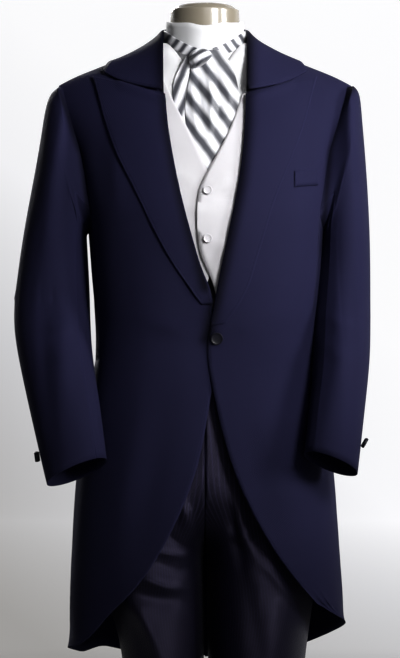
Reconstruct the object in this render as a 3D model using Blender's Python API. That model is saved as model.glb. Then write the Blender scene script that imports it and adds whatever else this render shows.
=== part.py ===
"""Cutaway tail coat, waistcoat, shirt front, ascot and trousers on a limbless dress form.

Metres, +Z up, the wearer faces -Y, and the wearer's left is +X. The origin is on the floor, at
the middle of the form's base plate. Most pieces are walls of cloth between two grids of points.
The grids are read from the coat's own surface, which the next tables give, moved in or out.
"""
import math

import bmesh
import bpy
import numpy as np

SEAM = 0.0003          # gap between pieces that are sewn or rest on each other
SEAM_ANGLE = 0.06      # the same gap as half an angle on the coat's body, in degrees
WOOL = 0.0018          # thickness of the coat's and the trousers' cloth
SATIN = 0.0014         # thickness of the waistcoat and the ascot
LINEN = 0.0012         # thickness of the shirt

ARMPIT_Z = 1.330
WAIST_Z = 1.115        # seam between the coat's body and its skirts
SHOULDER_Y = 0.012     # the shoulder seam lies this far behind the middle
ARM_ANGLE = 70.6       # front edge of the armhole, round from the middle of the front
ARMHOLE_FOOT = 0.06    # where the armhole's sides end, as a share of the way up to the shoulder
ARMHOLE_SCOOP = 0.027  # depth of the armhole's round bottom
UNDERLAP = 0.0032      # depth of an edge that lies under another one


def smooth(xs, ys, at):
    """Value at one place of a curve through the points, with no overshoot."""
    slopes = np.diff(ys) / np.diff(xs)
    tangents = np.concatenate([slopes[:1], np.zeros(len(xs) - 2), slopes[-1:]])
    for i in range(1, len(xs) - 1):
        before, after = slopes[i - 1], slopes[i]
        if before * after > 0:
            tangents[i] = 2 * before * after / (before + after)
    at = min(max(at, xs[0]), xs[-1])
    i = min(max(int(np.searchsorted(xs, at)) - 1, 0), len(xs) - 2)
    width = xs[i + 1] - xs[i]
    t = (at - xs[i]) / width
    return ((1 + 2 * t) * (1 - t) ** 2 * ys[i] + t * (1 - t) ** 2 * width * tangents[i]
            + t * t * (3 - 2 * t) * ys[i + 1] + t * t * (t - 1) * width * tangents[i + 1])


class Table:
    """Rows of named numbers, read as smooth curves along the first column."""

    def __init__(self, names, *rows):
        self.names = names.split()
        self.rows = np.array(sorted(rows), dtype=float)

    def read(self, name, at):
        return smooth(self.rows[:, 0], self.rows[:, self.names.index(name)], at)

    def row(self, at):
        return [self.read(name, at) for name in self.names[1:]]


def blend(a, b, t):
    return a + (b - a) * t


def ramp(at, start, end):
    """0 before start, 1 after end, and soft between."""
    t = min(max((at - start) / (end - start), 0.0), 1.0)
    return t * t * (3 - 2 * t)


# The coat's outer surface up to the armpit, by height: half width, depth to the front and to the
# back, and how square the section is (2 is an ellipse).
BODY = Table(
    "z half_width front back round",
    (0.60, 0.2260, 0.136, 0.154, 2.10),
    (0.65, 0.2230, 0.134, 0.153, 2.10),
    (0.75, 0.2170, 0.131, 0.150, 2.10),
    (0.85, 0.2110, 0.129, 0.145, 2.15),
    (0.95, 0.2050, 0.128, 0.138, 2.20),
    (1.05, 0.1900, 0.125, 0.122, 2.30),
    (1.14, 0.1760, 0.122, 0.105, 2.40),
    (1.23, 0.1830, 0.133, 0.118, 2.45),
    (1.33, 0.1900, 0.140, 0.130, 2.45),
)

# Half width above the armpit, by the share of the way up to the top of the shoulder.
UPPER = Table(
    "level half_width",
    (0.00, 0.190),
    (0.28, 0.203),
    (0.48, 0.211),
    (0.79, 0.241),
    (1.00, 0.252),
)

# Height of the top of the shoulder, by the distance from the middle.
RIDGE = Table(
    "x z",
    (0.000, 1.6420),
    (0.060, 1.6290),
    (0.080, 1.6235),
    (0.120, 1.6095),
    (0.150, 1.5985),
    (0.170, 1.5905),
    (0.210, 1.5745),
    (0.2385, 1.5595),
    (0.252, 1.5500),
)


def half_width(level):
    if level > 0:
        return UPPER.read("half_width", level)
    return BODY.read("half_width", ARMPIT_Z + level)


def height(x, level, inset=0.0):
    if level > 0:
        return ARMPIT_Z + (RIDGE.read("z", abs(x)) - inset - ARMPIT_Z) * level
    return ARMPIT_Z + level


def level_of(x, z, inset=0.0):
    """The level of a height: a share of the way up to the shoulder, or metres below the armpit."""
    if z > ARMPIT_Z:
        return min((z - ARMPIT_Z) / (RIDGE.read("z", abs(x)) - inset - ARMPIT_Z), 1.0)
    return z - ARMPIT_Z


def torso_point(x, level, front, inset=0.0):
    """Point of the coat's surface, moved in by inset, at a distance x from the middle."""
    z = height(x, level, inset)
    lower_z = min(z, ARMPIT_Z)
    share = 1.0
    if level > 0:
        share = (1 - min(level, 1.0) ** (2 if front else 3)) ** 0.65
    depth = (BODY.read("front" if front else "back", lower_z) - inset) * share
    power = BODY.read("round", lower_z)
    across = min(abs(x) / (half_width(level) - inset), 1.0)
    out = SEAM / 2 + depth * (1 - across ** power) ** (1 / power)
    middle = SHOULDER_Y * max(level, 0.0)
    return np.array([x, middle - out if front else middle + out, z])


def ring_point(angle, level, inset=0.0):
    """Point at an angle round from the middle of the front: 90 is the side, 180 the back."""
    x = (half_width(level) - inset) * math.sin(math.radians(angle))
    return torso_point(x, level, angle <= 90, inset)


def front_point(x, z, inset=0.0):
    """Point of the front at a place in the front view."""
    return torso_point(x, level_of(x, z, inset), True, inset)


def over_shoulder(x, rise, inset=0.0):
    """rise is 0 to 1 from the armpit's height up the front, and 1 to 2 down the back."""
    if rise <= 1:
        return torso_point(x, rise, True, inset)
    return torso_point(x, 2 - rise, False, inset)


def material(name, colour, roughness, metallic=0.0):
    made = bpy.data.materials.new(name)
    made.use_nodes = True
    shader = made.node_tree.nodes["Principled BSDF"]
    shader.inputs["Base Color"].default_value = (*colour, 1.0)
    shader.inputs["Roughness"].default_value = roughness
    shader.inputs["Metallic"].default_value = metallic
    return made


def add_object(name, mesh_builder, finish):
    """One named object whose closed mesh the builder fills, with its faces pointing out."""
    mesh = bpy.data.meshes.new(name)
    shape = bmesh.new()
    mesh_builder(shape)
    bmesh.ops.remove_doubles(shape, verts=shape.verts, dist=0.00001)
    bmesh.ops.recalc_face_normals(shape, faces=shape.faces)
    shape.to_mesh(mesh)
    shape.free()
    mesh.shade_smooth()
    mesh.set_sharp_from_angle(angle=math.radians(40))
    made = bpy.data.objects.new(name, mesh)
    made.data.materials.append(finish)
    bpy.context.scene.collection.objects.link(made)
    return made


def wall(name, outer, inner, finish, closed=False):
    """A wall of cloth between two grids of points, rows by columns.

    closed joins the last column to the first, as in a tube.
    """
    outer, inner = np.array(outer), np.array(inner)
    rows, columns = outer.shape[:2]

    def build(shape):
        sides = [[[shape.verts.new(p) for p in row] for row in grid] for grid in (outer, inner)]
        spans = [(j, (j + 1) % columns) for j in range(columns if closed else columns - 1)]
        for grid in sides:
            for i in range(rows - 1):
                for j, k in spans:
                    shape.faces.new((grid[i][j], grid[i][k], grid[i + 1][k], grid[i + 1][j]))
        out, back = sides
        for i in (0, rows - 1):
            for j, k in spans:
                shape.faces.new((out[i][j], out[i][k], back[i][k], back[i][j]))
        if not closed:
            for j in (0, columns - 1):
                for i in range(rows - 1):
                    shape.faces.new((out[i][j], out[i + 1][j], back[i + 1][j], back[i][j]))

    return add_object(name, build, finish)


def grid_normals(grid, closed=False):
    """Unit normals of a grid of points; their side follows the order of rows and columns."""
    if closed:
        across = np.roll(grid, -1, axis=1) - np.roll(grid, 1, axis=1)
    else:
        across = np.gradient(grid, axis=1)
    normals = np.cross(across, np.gradient(grid, axis=0))
    return normals / np.maximum(np.linalg.norm(normals, axis=2, keepdims=True), 1e-9)


def turned_out(normals, grid, middle):
    """The normals, all turned to point away from a middle point or a middle line of points."""
    away = ((grid - middle) * normals).sum()
    return normals if away > 0 else -normals


def solid_of_rings(name, rings, finish):
    """A closed body through rings of points, with a flat face at each end."""
    def build(shape):
        rows = [[shape.verts.new(p) for p in ring] for ring in rings]
        count = len(rings[0])
        for low, high in zip(rows, rows[1:]):
            for j in range(count):
                k = (j + 1) % count
                shape.faces.new((low[j], low[k], high[k], high[j]))
        shape.faces.new(rows[0])
        shape.faces.new(rows[-1])

    return add_object(name, build, finish)


for thing in list(bpy.data.objects):
    bpy.data.objects.remove(thing, do_unlink=True)

COAT = material("navy_wool", (0.020, 0.020, 0.052), 0.75)
HORN = material("horn_button", (0.010, 0.010, 0.016), 0.35)
VEST = material("white_satin", (0.86, 0.85, 0.88), 0.45)
SHIRT = material("white_shirting", (0.90, 0.90, 0.90), 0.7)
STRIPE = material("silver_stripe", (0.45, 0.45, 0.48), 0.4)
TROUSER = material("midnight_twill", (0.008, 0.008, 0.014), 0.5)
JERSEY = material("charcoal_jersey", (0.02, 0.02, 0.022), 0.85)
NECK = material("beige_lacquer", (0.40, 0.36, 0.29), 0.25)
STEEL = material("brushed_steel", (0.55, 0.55, 0.56), 0.3, 1.0)

# The coat's front edges in the front view. The roll line is where the lapel folds back; below it
# the same line is the plain edge. x is towards that front's own side.
ROLL = {
    +1: Table(
        "z x",
        (1.100, 0.0062), (1.115, 0.0040), (1.131, 0.0016), (1.155, 0.0030), (1.179, 0.0105),
        (1.210, 0.0160), (1.241, 0.0217), (1.273, 0.0287), (1.335, 0.0419), (1.398, 0.0545),
        (1.445, 0.0609), (1.493, 0.0648), (1.545, 0.0665), (1.594, 0.0686), (1.617, 0.0700),
        (1.632, 0.0760),
    ),
    -1: Table(
        "z x",
        (1.100, -0.0180), (1.115, -0.0190), (1.155, -0.0200), (1.190, -0.0150), (1.210, -0.0125),
        (1.226, -0.0085), (1.241, -0.0030), (1.257, 0.0050), (1.273, 0.0104), (1.304, 0.0190),
        (1.335, 0.0285), (1.398, 0.0441), (1.445, 0.0536), (1.493, 0.0612), (1.545, 0.0655),
        (1.594, 0.0686), (1.617, 0.0700), (1.632, 0.0760),
    ),
}
FOLD = 0.0026          # the lapel's fold stands this far out from the forepart's edge
FOLD_FOOT = {+1: 1.165, -1: 1.200}   # height where the lapel starts to roll


def forepart_edge(side, z):
    """Distance of the forepart's cut edge from the middle, at a height."""
    return ROLL[side].read("x", z) + FOLD * ramp(z, FOLD_FOOT[side] - 0.015, FOLD_FOOT[side])


def under(side, x):
    """How far in the wearer's right front lies, where the left one laps over it."""
    return UNDERLAP * (1 - ramp(x, -0.006, 0.026)) if side < 0 else 0.0


def edge_at(side, level):
    """The forepart's edge on one level: its distance from the middle."""
    x = 0.05
    for _ in range(12):
        x = forepart_edge(side, height(x, level))
    return x


def mirrored(points, side):
    return np.array(points) * (side, 1, 1)


LOWER_LEVELS = np.linspace(WAIST_Z + SEAM / 2 - ARMPIT_Z, 0.0, 6)[:-1]
FRONT_HEIGHTS = (WAIST_Z + SEAM / 2, 1.150, 1.182, 1.206, 1.238, 1.264, 1.297)
FRONT_LEVELS = [z - ARMPIT_Z for z in FRONT_HEIGHTS]
ARMHOLE_STEPS = 8
ARMHOLE_LEVELS = [
    blend(ARMHOLE_FOOT, 1.0, 0.5 - 0.5 * math.cos(math.pi * k / ARMHOLE_STEPS))
    for k in range(ARMHOLE_STEPS + 1)
]
FOREPART_STEPS = 9
SIDE_STEPS = 4
BACK_SHARES = (0.0, 0.08, 0.155, 0.225, 0.40, 0.60, 0.80, 1.0)   # columns from the middle seam
BACK_SEAM = Table(
    "z angle",
    (0.628, 142.0), (0.900, 146.0), (1.115, 150.0), (1.200, 137.0), (1.280, 119.0),
    (1.345, 180 - ARM_ANGLE),
)
NECK_Y = 0.012         # the neck's axis
NECK_RADIUS = (0.0570, 0.0590)   # the form's neck, across and from front to back
COAT_NECKLINE = 0.0680 # distance of the coat's back neck edge from the neck's axis
VENT_LAP = 6.5         # the right tail passes this many degrees under the left one
VENT_SINK = (0.130, 0.215)   # and sinks to that depth between these distances below the armpit
TAIL_STEPS = 8
HEM_BACK = 0.614       # height of the hem at the middle of the back
HEM_SEAM = 0.630       # and at the back seam


def tail_heights():
    return np.linspace(WAIST_Z, HEM_SEAM, TAIL_STEPS + 1)


def forepart(side):
    name = "coat_forepart_left" if side > 0 else "coat_forepart_right"
    outer, inner = [], []
    for level in [*FRONT_LEVELS, *ARMHOLE_LEVELS]:
        start = math.degrees(math.asin(edge_at(side, level) / half_width(level)))
        angles = np.linspace(start, ARM_ANGLE - SEAM_ANGLE, FOREPART_STEPS + 1)
        for rows, inset in ((outer, 0.0), (inner, WOOL)):
            row = []
            for angle in angles:
                x = half_width(level) * math.sin(math.radians(angle))
                row.append(ring_point(angle, level, inset + under(side, x)))
            rows.append(mirrored(row, side))
    return wall(name, outer, inner, COAT)


def armhole_bottom(share):
    """Angle and level of the armhole's round bottom, from its front to its back."""
    angle = blend(ARM_ANGLE, 180 - ARM_ANGLE, share)
    x = half_width(0.0) * math.sin(math.radians(angle))
    top = height(x, ARMHOLE_FOOT) - ARMHOLE_SCOOP * math.sin(math.pi * share) ** 0.8
    return angle, level_of(x, top)


def side_body(side):
    name = "coat_side_left" if side > 0 else "coat_side_right"
    outer, inner = [], []
    shares = np.linspace(0, 1, SIDE_STEPS + 1)
    for level in [*LOWER_LEVELS, None]:
        row = []
        for share in shares:
            if level is None:
                angle, here = armhole_bottom(share)
                here -= SEAM
            else:
                angle = blend(ARM_ANGLE, BACK_SEAM.read("angle", ARMPIT_Z + level), share)
                here = level
            row.append((angle + SEAM_ANGLE * (1 - 2 * share), here))
        outer.append(mirrored([ring_point(a, b) for a, b in row], side))
        inner.append(mirrored([ring_point(a, b, WOOL) for a, b in row], side))
    return wall(name, outer, inner, COAT)


def neckline_level(x, radius, inset=0.0):
    """Level where the back's surface comes within a radius of the neck's axis."""
    low, high = 0.5, 1.0
    for _ in range(24):
        level = (low + high) / 2
        point = torso_point(x, level, False, inset)
        if math.hypot(point[0], point[1] - NECK_Y) > radius:
            low = level
        else:
            high = level
    return low


def back(side):
    """The back and its tail in one piece, with a vent below the waist."""
    name = "coat_back_left" if side > 0 else "coat_back_right"
    levels = [(z - ARMPIT_Z, None) for z in tail_heights()[::-1]]
    levels += [(level, None) for level in LOWER_LEVELS[1:]]
    levels += [(None, share) for share in np.linspace(0, 1, ARMHOLE_STEPS + 1)]
    outer, inner = [], []
    for level, share in levels:
        row = []
        for s in BACK_SHARES:
            if level is None:
                x = half_width(0.93) * math.sin(math.radians(s * ARM_ANGLE))
                top = neckline_level(x, COAT_NECKLINE)
                here = blend(ARMHOLE_FOOT, top, 0.5 - 0.5 * math.cos(math.pi * share))
                seam = 180 - ARM_ANGLE
                lap = 0.0
            else:
                seam = BACK_SEAM.read("angle", ARMPIT_Z + level)
                sunk = ramp(level, WAIST_Z - ARMPIT_Z, HEM_SEAM - ARMPIT_Z)
                here = level - (HEM_SEAM - HEM_BACK) * (1 - s) * sunk
                lap = VENT_LAP * ramp(-level, ARMPIT_Z - WAIST_Z, ARMPIT_Z - WAIST_Z + 0.05)
            middle = 180 - SEAM_ANGLE + (lap if side < 0 else 0.0)
            angle = blend(middle, seam + SEAM_ANGLE, s)
            depth = 0.0
            if side < 0 and level is not None:
                depth = UNDERLAP * ramp(angle, 174.5, 179.5) * ramp(-level, *VENT_SINK)
            row.append((angle, here, depth))
        outer.append(mirrored([ring_point(a, b, d) for a, b, d in row], side))
        inner.append(mirrored([ring_point(a, b, d + WOOL) for a, b, d in row], side))
    return wall(name, outer, inner, COAT)


# The cutaway edge in the front view, from the waist seam to the side, as t from 0 to 1.
CUTAWAY = {
    +1: Table(
        "t x z",
        (0.00, 0.0040, 1.1150), (0.12, 0.0146, 1.0580), (0.24, 0.0275, 1.0010),
        (0.36, 0.0437, 0.9440), (0.47, 0.0648, 0.8960), (0.58, 0.0890, 0.8470),
        (0.70, 0.1180, 0.7985), (0.82, 0.1540, 0.7500), (0.91, 0.1830, 0.7200),
        (1.00, 0.2080, 0.7040),
    ),
    -1: Table(
        "t x z",
        (0.00, -0.0190, 1.1150), (0.11, -0.0097, 1.0660), (0.24, 0.0000, 1.0010),
        (0.33, 0.0080, 0.9605), (0.43, 0.0210, 0.9200), (0.53, 0.0370, 0.8795),
        (0.63, 0.0567, 0.8390), (0.73, 0.0778, 0.8000), (0.82, 0.1040, 0.7620),
        (0.91, 0.1420, 0.7180), (1.00, 0.1980, 0.6780),
    ),
}
SIDE_HEM_LIFT = 0.006
SKIRT_FLARE = {+1: 0.0085, -1: 0.0}   # the left skirt's lower front corner swings out this far


def skirt(side):
    name = "coat_skirt_left" if side > 0 else "coat_skirt_right"
    start = math.degrees(math.asin(CUTAWAY[side].read("x", 0) / half_width(WAIST_Z - ARMPIT_Z)))
    waist_angles = np.concatenate([
        np.linspace(start, ARM_ANGLE, FOREPART_STEPS + 1),
        np.linspace(ARM_ANGLE, BACK_SEAM.read("angle", WAIST_Z), SIDE_STEPS + 1)[1:],
    ])
    shares = (waist_angles - waist_angles[0]) / (waist_angles[-1] - waist_angles[0])
    heights = tail_heights()
    outer, inner = [], []
    for i, back_z in enumerate(heights):
        t = i / TAIL_STEPS
        x, front_z = CUTAWAY[side].row(t)
        front_angle = math.degrees(math.asin(x / half_width(front_z - ARMPIT_Z)))
        back_angle = BACK_SEAM.read("angle", back_z) - SEAM_ANGLE
        row = []
        for s in shares:
            angle = blend(front_angle, back_angle, s)
            z = blend(front_z, back_z, s) + SIDE_HEM_LIFT * t * math.sin(math.pi * s)
            z -= SEAM / 2 if i == 0 else 0.0
            level = z - ARMPIT_Z
            depth = under(side, half_width(level) * math.sin(math.radians(angle)))
            depth -= SKIRT_FLARE[side] * t * t * (1 - s)
            row.append((angle, level, depth))
        outer.append(mirrored([ring_point(a, b, d) for a, b, d in row], side))
        inner.append(mirrored([ring_point(a, b, d + WOOL) for a, b, d in row], side))
    return wall(name, outer, inner, COAT)


# The lapel's outer edge in the front view, from its foot to the peak.
LAPEL_EDGE = Table(
    "t x z",
    (0.00, 0.0050, 1.2037), (0.05, 0.0180, 1.2200), (0.10, 0.0285, 1.2370),
    (0.17, 0.0465, 1.2605), (0.25, 0.0629, 1.2883), (0.38, 0.0865, 1.3321),
    (0.50, 0.1040, 1.3712),
    (0.62, 0.1259, 1.4147), (0.74, 0.1455, 1.4559), (0.84, 0.1605, 1.4966),
    (0.93, 0.1712, 1.5392), (1.00, 0.1815, 1.5735),
)
LAPEL_ROWS = (0.0, 0.05, 0.10, 0.17, 0.25, 0.35, 0.46, 0.57, 0.67, 0.76, 0.84, 0.91, 0.96, 1.0)
GORGE_Z = 1.540        # height where the lapel's top seam meets the roll line
LEFT_LAPEL_DROP = 0.030   # the left lapel starts lower, because its front laps over
PEAK_LIFT = 0.0010     # the peak stands this much further off the shoulder

# Section of the lapel at its fold and over the forepart, in millimetres: how far across from the
# forepart's cut edge, and how high above its surface, for the outer and the inner face. The last
# rows are shares of the lapel's width.
LAPEL_FOLD = (
    # outer across, outer lift, inner across, inner lift
    (-2.7, -1.8, -0.9, -1.8),
    (-3.0, 0.2, -1.1, 0.2),
    (-2.2, 2.5, -0.8, 1.2),
    (0.6, 3.7, 1.0, 1.8),
)
LAPEL_SPREAD = (
    # share of the width, outer lift, inner lift
    (0.18, 3.7, 1.8),
    (0.34, 3.5, 1.7),
    (0.50, 3.3, 1.6),
    (0.66, 3.2, 1.5),
    (0.80, 3.0, 1.4),
    (0.91, 3.0, 1.4),
    (1.00, 3.0, 1.4),
)


def lapel(side):
    name = "coat_lapel_left" if side > 0 else "coat_lapel_right"
    drop = LEFT_LAPEL_DROP if side > 0 else 0.0
    outer, inner = [], []
    for t in LAPEL_ROWS:
        tip_x, tip_z = LAPEL_EDGE.row(t)
        tip_z -= drop * (1 - ramp(t, 0.0, 0.55))
        apart = ROLL[side].read("x", tip_z) - ROLL[-1].read("x", tip_z)
        tip_x += apart * (1 - ramp(t, 0.1, 0.9))
        root_z = blend(FOLD_FOOT[side] + 0.004, GORGE_Z, t)
        root_x = forepart_edge(side, root_z)
        run = np.array([tip_x - root_x, tip_z - root_z])
        width = float(np.linalg.norm(run))
        run /= width
        rows = ([], [])
        for out_a, out_l, in_a, in_l in LAPEL_FOLD:
            rows[0].append((out_a / 1000, out_l / 1000))
            rows[1].append((in_a / 1000, in_l / 1000))
        for share, out_l, in_l in LAPEL_SPREAD:
            rows[0].append((share * width, out_l / 1000))
            rows[1].append((share * width, in_l / 1000))
        for grid, row in zip((outer, inner), rows):
            points = []
            for across, lift in row:
                x, z = root_x + run[0] * across, root_z + run[1] * across
                rise = PEAK_LIFT * ramp(z, 1.50, 1.56)
                points.append(front_point(x, z, under(side, x) - lift - rise))
            grid.append(mirrored(points, side))
    return wall(name, outer, inner, COAT)


# The collar on one side, as p from the gorge to the middle of the back. The stand is sewn to the
# neck edge, the fold is the top of the stand, and the leaf falls to the outer edge.
COLLAR = Table(
    "p foot_z foot_rise fold_x fold_y fold_z edge_x edge_rise",
    (0.00, 1.545, 0.715, 0.0680, -0.0815, 1.5500, 0.1660, 0.930),
    (0.20, 1.585, 0.850, 0.0690, -0.0560, 1.5930, 0.1625, 0.965),
    (0.40, 1.616, 0.950, 0.0695, -0.0210, 1.6330, 0.1520, 1.000),
    (0.55, 1.627, 1.000, 0.0698, 0.0100, 1.6465, 0.1360, 1.036),
    (0.75, 1.617, 1.054, 0.0588, 0.0520, 1.6550, 0.0890, 1.110),
    (1.00, 1.595, 1.152, 0.0000, 0.0860, 1.6570, 0.0000, 1.190),
)
COLLAR_ROWS = (0.0, 0.10, 0.20, 0.30, 0.38, 0.45, 0.50, 0.55, 0.62, 0.70, 0.80, 0.90, 1.0)
COLLAR_CREST = 0.0018  # it stands this much further off the top of the shoulder
SHOULDER_TUCK = 0.0085 # at the shoulder seam its foot passes from the front's edge to the back's
COLLAR_FOLD_HALF = 0.0024
COLLAR_LIFT = (0.0053, 0.0030)   # middle of the leaf over the coat, at the neck and at its edge
LEAF_SHARES = (0.0, 0.16, 0.38, 0.68, 1.0)
LEAF_FALL = 3.2        # how fast the leaf comes down from the fold onto the coat
NOTCH_X = 0.146        # the collar's end leaves the lapel here, and the notch opens
NOTCH_RISE = 0.0115


def gorge_z(x):
    """Height of the lapel's top seam."""
    tip_x, tip_z = LAPEL_EDGE.row(1.0)
    root_x = forepart_edge(-1, GORGE_Z)
    return blend(GORGE_Z, tip_z, (x - root_x) / (tip_x - root_x))


def collar_section(p):
    """Points across the collar: up the stand, over the fold and down the leaf."""
    foot_z, foot_rise, fold_x, fold_y, fold_z, edge_x, edge_rise = COLLAR.row(p)
    if foot_rise <= 1:
        foot_x = forepart_edge(-1, foot_z) - 0.0016 - SHOULDER_TUCK * ramp(p, 0.40, 0.54)
    else:
        foot_x = COAT_NECKLINE * fold_x / math.hypot(fold_x, fold_y - NECK_Y)
        foot_rise = 2 - neckline_level(foot_x, COAT_NECKLINE) - 0.006
    foot = over_shoulder(foot_x, foot_rise, WOOL / 2)
    fold = np.array([fold_x, fold_y, fold_z])
    away = np.array([fold_x, fold_y - NECK_Y, 0.0])
    away *= COLLAR_FOLD_HALF / np.linalg.norm(away)
    row = [foot, blend(foot, fold - away, 0.55), fold - away, fold + (0, 0, 0.0018)]
    near, far = COLLAR_LIFT
    ground = over_shoulder(foot_x + 0.002, foot_rise, -near)
    for share in LEAF_SHARES:
        x = blend(foot_x + 0.002, edge_x, share)
        rise = blend(foot_rise, edge_rise, share)
        lift = blend(near, far, share) + COLLAR_CREST * math.exp(-((rise - 1) / 0.05) ** 2)
        if p == 0:
            z = gorge_z(x) + 0.0012 + NOTCH_RISE * ramp(x, NOTCH_X, edge_x)
            on_body = front_point(x, z, -lift)
        else:
            on_body = over_shoulder(x, rise, -lift)
        row.append(on_body + (fold + away - ground) * (1 - share) ** LEAF_FALL)
    return row


def collar():
    """Stand and leaf in one folded wall, from gorge to gorge round the back of the neck."""
    half = np.array([collar_section(p) for p in COLLAR_ROWS])
    grid = np.concatenate([half[:-1] * (-1, 1, 1), half[::-1]])
    normals = grid_normals(grid)
    leaf_middle = grid[:, -2]
    if (normals[:, -2] * (leaf_middle - (0, NECK_Y, 1.55))).sum() < 0:
        normals = -normals
    return wall("coat_collar", grid + normals * WOOL / 2, grid - normals * WOOL / 2, COAT)


# The sleeves: the outer and the inner end of each ring in the front view, its middle from front
# to back, its half depth, and how much its front edge is raised and its back edge lowered.
SLEEVE = {
    -1: Table(
        "t out_x out_z in_x in_z y depth tilt",
        (1, 0.2455, 1.5560, 0.1915, 1.3175, 0.000, 0.064, 0.000),
        (2, 0.2530, 1.5470, 0.1925, 1.3150, 0.001, 0.068, 0.000),
        (3, 0.2584, 1.5200, 0.1925, 1.3110, 0.001, 0.071, 0.000),
        (4, 0.2640, 1.4800, 0.1920, 1.3060, 0.002, 0.073, 0.000),
        (5, 0.2738, 1.4220, 0.1915, 1.2980, 0.001, 0.073, 0.000),
        (6, 0.2945, 1.3165, 0.1897, 1.2700, -0.001, 0.071, 0.000),
        (7, 0.3072, 1.2150, 0.1862, 1.2080, -0.005, 0.067, 0.004),
        (8, 0.3078, 1.1650, 0.1845, 1.1650, -0.022, 0.063, 0.010),
        (9, 0.2975, 1.1150, 0.1800, 1.1200, -0.052, 0.058, 0.016),
        (10, 0.2760, 1.0300, 0.1670, 1.0450, -0.090, 0.050, 0.018),
        (11, 0.2487, 0.9208, 0.1552, 0.9590, -0.117, 0.042, 0.014),
    ),
    +1: Table(
        "t out_x out_z in_x in_z y depth tilt",
        (1, 0.2465, 1.5605, 0.1915, 1.3175, 0.002, 0.063, 0.000),
        (2, 0.2525, 1.5500, 0.1922, 1.3150, 0.002, 0.067, 0.000),
        (3, 0.2545, 1.5220, 0.1918, 1.3110, 0.001, 0.071, 0.000),
        (4, 0.2560, 1.4780, 0.1906, 1.3060, 0.002, 0.072, 0.000),
        (5, 0.2606, 1.4220, 0.1896, 1.2980, 0.001, 0.072, 0.000),
        (6, 0.2668, 1.3165, 0.1876, 1.2700, -0.001, 0.070, 0.000),
        (7, 0.2669, 1.2150, 0.1832, 1.2080, -0.005, 0.066, 0.004),
        (8, 0.2656, 1.1650, 0.1798, 1.1650, -0.024, 0.062, 0.010),
        (9, 0.2634, 1.1150, 0.1775, 1.1200, -0.056, 0.057, 0.016),
        (10, 0.2512, 1.0300, 0.1670, 1.0450, -0.095, 0.048, 0.018),
        (11, 0.2395, 0.9374, 0.1562, 0.9690, -0.118, 0.041, 0.014),
    ),
}
SLEEVE_SEAM_STEPS = 7  # columns from the top of the sleeve round to its front or hind seam
SLEEVE_ROUND = 2.15
ARMPIT_SQUARE = 1.05   # the first rings are squarer below by this much, as the armhole is
SLEEVE_FOOT = (132.0, 150.0)   # turn of the armhole's foot on the first ring, and further down
ELBOW_RING = 7         # the right sleeve bends most here, and its top half is in two lengths


def armhole_ring():
    """The sleeve's first ring, which meets the armhole's edge all round."""
    points = []
    for level in ARMHOLE_LEVELS[::-1]:
        points.append(ring_point(ARM_ANGLE + SEAM_ANGLE, level))
    for share in np.linspace(0, 1, SIDE_STEPS + 1)[1:-1]:
        angle, level = armhole_bottom(share)
        points.append(ring_point(angle, level + SEAM))
    for level in ARMHOLE_LEVELS:
        points.append(ring_point(180 - ARM_ANGLE - SEAM_ANGLE, level))
    top = (points[0] + points[-1]) / 2
    return [top, *points[1:-1]]


def sleeve_angles(t):
    """Turn of each column round the sleeve, from the top by the front, in degrees."""
    foot = blend(*SLEEVE_FOOT, ramp(t, 1, 5))
    front = [foot * k / ARMHOLE_STEPS for k in range(ARMHOLE_STEPS + 1)]
    bottom = [blend(foot, 360 - foot, k / SIDE_STEPS) for k in range(1, SIDE_STEPS)]
    hind = [360 - angle for angle in front[::-1]]
    return [*front, *bottom, *hind[:-1]]


def sleeve_rings(side):
    rings = [armhole_ring()]
    for t in SLEEVE[side].rows[:, 0]:
        out_x, out_z, in_x, in_z, y, depth, tilt = SLEEVE[side].row(t)
        middle = np.array([(out_x + in_x) / 2, y, (out_z + in_z) / 2])
        across = np.array([(out_x - in_x) / 2, 0.0, (out_z - in_z) / 2])
        ring = []
        for angle in sleeve_angles(t):
            c, s = math.cos(math.radians(angle)), math.sin(math.radians(angle))
            power = SLEEVE_ROUND + (ARMPIT_SQUARE * (1 - ramp(t, 1, 5)) if c < 0 else 0.0)
            size = (abs(c) ** power + abs(s) ** power) ** (-1 / power)
            ring.append(middle + size * (across * c + np.array([0, -depth, tilt]) * s))
        rings.append(ring)
    return np.array(rings)


def part_of_tube(outer, inner, first, last):
    """Columns first to last of a closed tube, drawn in at both edges by half the seam."""
    count = outer.shape[1]
    columns = [j % count for j in range(first, last + 1)]
    cut = []
    for grid in (outer, inner):
        piece = grid[:, columns].copy()
        for edge, step in ((0, 1), (-1, -1)):
            run = piece[:, edge + step] - piece[:, edge]
            run /= np.linalg.norm(run, axis=1, keepdims=True)
            piece[:, edge] += run * SEAM / 2
        cut.append(piece)
    return cut


def in_two_lengths(grids, ring):
    """A sleeve's half cut across at a ring, each length drawn back by half the seam."""
    upper = [grid[:ring + 1].copy() for grid in grids]
    lower = [grid[ring:].copy() for grid in grids]
    for length, edge, step in ((upper, -1, -1), (lower, 0, 1)):
        for grid in length:
            run = grid[edge + step] - grid[edge]
            grid[edge] += run / np.linalg.norm(run, axis=1, keepdims=True) * SEAM / 2
    return upper, lower


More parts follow.
